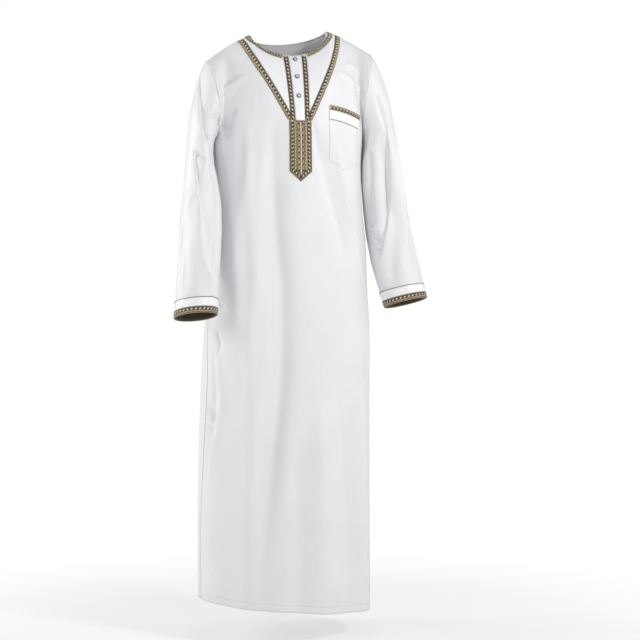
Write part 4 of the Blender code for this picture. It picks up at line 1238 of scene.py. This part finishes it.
# Side and shoulder seams, and the stitches that hold the hem
def sewSeams():
    for name, side in (("front", 1), ("back", -1)):
        threads = Threads(name + "Seams")
        if side > 0:
            for hand in (-1, 1):
                down = panel(1, hand, np.linspace(1.0, 2.0, 160))
                over = panel(1, hand * np.linspace(robe["neckShare"] + seams["shoulderStart"], 1.0, 40), 0.0)
                for line in (down, over):
                    strip = seamStrip(line, outward(*line.T))
                    threads.cord(strip, 0.5, seams["radius"], "seam", 0.0)
        u = np.linspace(-0.995, 0.995, 180)
        line = panel(side, u, 2.0 - seams["hemDepth"] / (robe["length"] - robe["underarm"]))
        strip = seamStrip(line, outward(*line.T))
        long, pitch, thick = seams["stitch"]
        s = np.arange(pitch, strip["length"] - pitch, pitch)
        threads.bars(strip, s, 0.5, long, thick * 1.6, thick, 0.0, "seam", 0.0001)
        extras.append((name, threads.build()))
    for name, sleeve in sleeves.items():
        # the grey cord at the top of each sleeve is the armhole seam, and its grey is also painted shade
        # where the body's cloth laps over the sleeve
        threads = Threads("armholeSeamShade" + name.capitalize())
        threads.cord(sleeveBand(sleeve, 0.0, 0.01), 0.0, seams["radius"], "seam", -0.0001)
        extras.append(("sleeve_" + name, threads.build()))


sewSeams()
print("seams sewn")


snaps = {
    "heights": (-0.08, -0.126, -0.176),
    "radius": 0.0058,
    "rim": 0.0018,
    "rise": 0.0021,
    # the ring's profile: how far in from its edge, in rims, and height, in rises
    "ring": ((1.3, 0.0), (0.0, 0.0), (0.0, 0.5), (0.3, 0.9), (0.7, 1.0), (1.1, 0.85), (1.3, 0.5)),
    "dome": ((0.62, 0.8), (0.36, 0.98), (0.1, 1.05)),      # shares of the radius, and height, in rises
    "metal": (0.16, 0.155, 0.15),
    "cap": (0.66, 0.66, 0.65),
}


def plainMaterial(name, colour, roughness, metallic=0.0, coat=0.0):
    made, tree, shader = newMaterial(name, colour, roughness)
    noise = addNode(tree, "ShaderNodeTexNoise", Vector=objectPlace(tree), Scale=600.0, Detail=3.0)
    spread = addNode(tree, "ShaderNodeMapRange", i0=noise.outputs[0], i3=roughness * 0.8,
                     i4=roughness * 1.25)
    tree.links.new(spread.outputs[0], shader.inputs["Roughness"])
    shader.inputs["Metallic"].default_value = metallic
    shader.inputs["Coat Weight"].default_value = coat
    return made


looks["metal"] = plainMaterial("snapMetal", snaps["metal"], 0.28, 1.0)
looks["pearl"] = plainMaterial("snapPearl", snaps["cap"], 0.25, 0.0, 0.5)


# A turned shape from (radius, height) rows about its own Z axis
def lathe(name, profile, look, sides=36):
    turns = turnsRound(sides)
    rows = np.array([[(r * np.cos(a), r * np.sin(a), h) for a in turns] for r, h in profile])
    faces = [tuple(int(i) for i in face) for face in gridFaces(len(profile), sides, True)]
    faces += [tuple(range(sides))[::-1], tuple(range((len(profile) - 1) * sides, len(profile) * sides))]
    return buildMesh(name, rows.reshape(-1, 3), faces, look)


def sewSnaps():
    points = [vertex.co for vertex in pieces["placket"].data.vertices]
    strip = BVHTree.FromPolygons(points, [tuple(face.vertices) for face in pieces["placket"].data.polygons])
    radius, rim, rise = snaps["radius"], snaps["rim"], snaps["rise"]
    for number, height in enumerate(snaps["heights"], start=1):
        seats = [strip.ray_cast(Vector((robe["centre"] + side, -1.0, height + up)), Vector((0.0, 1.0, 0.0)))
                 for side in (-radius / 2, radius / 2) for up in (-radius / 2, radius / 2)]
        place = sum((seat[0] for seat in seats), Vector()) / 4
        out = sum((seat[1] for seat in seats), Vector()).normalized()
        ring = [(radius - rim * inside, rise * up) for inside, up in snaps["ring"]]
        wall = radius - rim * 1.35
        dome = [(wall, 0.0), (wall, rise * 0.45)] + [(radius * out, rise * up) for out, up in snaps["dome"]]
        cap = lathe(f"snapCap{number}", dome, looks["pearl"])
        edge = lathe(f"snapRim{number}", ring + ring[:1], looks["metal"])
        for made in (cap, edge):
            made.rotation_mode = "QUATERNION"
            made.rotation_quaternion = out.to_track_quat("Z", "Y")
            made.location = place + out * 0.0003
        pieces[f"button_{number}"] = cap
        threadWork[f"button_{number}"] = edge


sewSnaps()
print("snaps made")


studio = {
    "floorHeight": -1.52,
    "floorTone": 0.94,
    "floorGlow": 0.62,                 # share of plain white under the robe
    "floorFade": (0.35, 1.5),          # metres from the robe over which the floor turns white
    "ambient": 0.3,
    # name: place, what it points at, size, watts, tint
    "lights": (
        ("key", (2.1, -3.0, 1.5), (0.0, 0.0, -0.7), 0.8, 82.0, (1.0, 0.995, 0.985)),
        ("fill", (-2.8, -1.9, 0.2), (0.0, 0.0, -0.8), 1.4, 18.0, (0.98, 0.99, 1.0)),
        ("rimLeft", (2.8, -0.4, 0.2), (0.0, 0.0, -0.6), 1.2, 10.0, (1.0, 1.0, 1.0)),
        ("rimRight", (-2.6, 0.9, 0.3), (0.0, 0.0, -0.5), 1.2, 40.0, (1.0, 1.0, 1.0)),
    ),
    "cameraBack": (-0.2706, -0.9627),
    "cameraReach": 3.8,
    "cameraSide": 0.082,
    "cameraHeight": -0.7286,
    "cameraAngle": 24.06,
}


def setStage():
    world = bpy.data.worlds.new("studioWorld")
    world.use_nodes = True
    tree = world.node_tree
    background = tree.nodes["Background"]
    white = addNode(tree, "ShaderNodeBackground", Color=(1.0, 1.0, 1.0, 1.0), Strength=1.0)
    background.inputs["Color"].default_value = (0.98, 0.99, 1.0, 1.0)
    background.inputs["Strength"].default_value = studio["ambient"]
    path = addNode(tree, "ShaderNodeLightPath")
    mix = addNode(tree, "ShaderNodeMixShader", i0=path.outputs["Is Camera Ray"], i1=background.outputs[0],
                  i2=white.outputs[0])
    tree.links.new(mix.outputs[0], tree.nodes["World Output"].inputs["Surface"])
    bpy.context.scene.world = world
    bpy.ops.mesh.primitive_plane_add(size=60.0, location=(0.0, 0.0, studio["floorHeight"]))
    floor = bpy.context.object
    floor.name = "studioFloor"
    made, tree, shader = newMaterial("paleFloor", (studio["floorTone"],) * 3, 0.9)
    away = addNode(tree, "ShaderNodeVectorMath", {"operation": "LENGTH"},
                   i0=objectPlace(tree)).outputs["Value"]
    fade = addNode(tree, "ShaderNodeMapRange", {"interpolation_type": "SMOOTHERSTEP"},
                   i0=away, i1=studio["floorFade"][0], i2=studio["floorFade"][1], i3=studio["floorGlow"])
    glow = addNode(tree, "ShaderNodeEmission", Color=(1.0, 1.0, 1.0, 1.0), Strength=1.0)
    mix = addNode(tree, "ShaderNodeMixShader", i0=fade.outputs[0], i1=shader.outputs[0], i2=glow.outputs[0])
    tree.links.new(mix.outputs[0], tree.nodes["Material Output"].inputs["Surface"])
    floor.data.materials.append(made)
    for name, place, target, size, power, tint in studio["lights"]:
        lamp = bpy.data.lights.new(name, "AREA")
        lamp.shape, lamp.size, lamp.energy, lamp.color = "DISK", size, power, tint
        light = bpy.data.objects.new(name, lamp)
        light.location = place
        light.rotation_euler = (Vector(target) - Vector(place)).to_track_quat("-Z", "Y").to_euler()
        bpy.context.scene.collection.objects.link(light)


def setCamera():
    back = Vector((*studio["cameraBack"], 0.0))
    side = Vector((-back.y, back.x, 0.0))
    camera = bpy.data.objects.new("camera", bpy.data.cameras.new("camera"))
    camera.location = side * studio["cameraSide"] + back * studio["cameraReach"]
    camera.location.z = studio["cameraHeight"]
    camera.rotation_euler = back.to_track_quat("Z", "Y").to_euler()
    camera.data.angle = math.radians(studio["cameraAngle"])
    bpy.context.scene.collection.objects.link(camera)
    bpy.context.scene.camera = camera
    bpy.context.scene.view_settings.view_transform = "Standard"


setStage()
setCamera()
print("stage and camera set")


def declare():
    sewn = [*threadWork.items(), *extras]
    for node, piece in [*pieces.items(), *sewn]:
        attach(piece, "root")
        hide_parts(node)


declare()
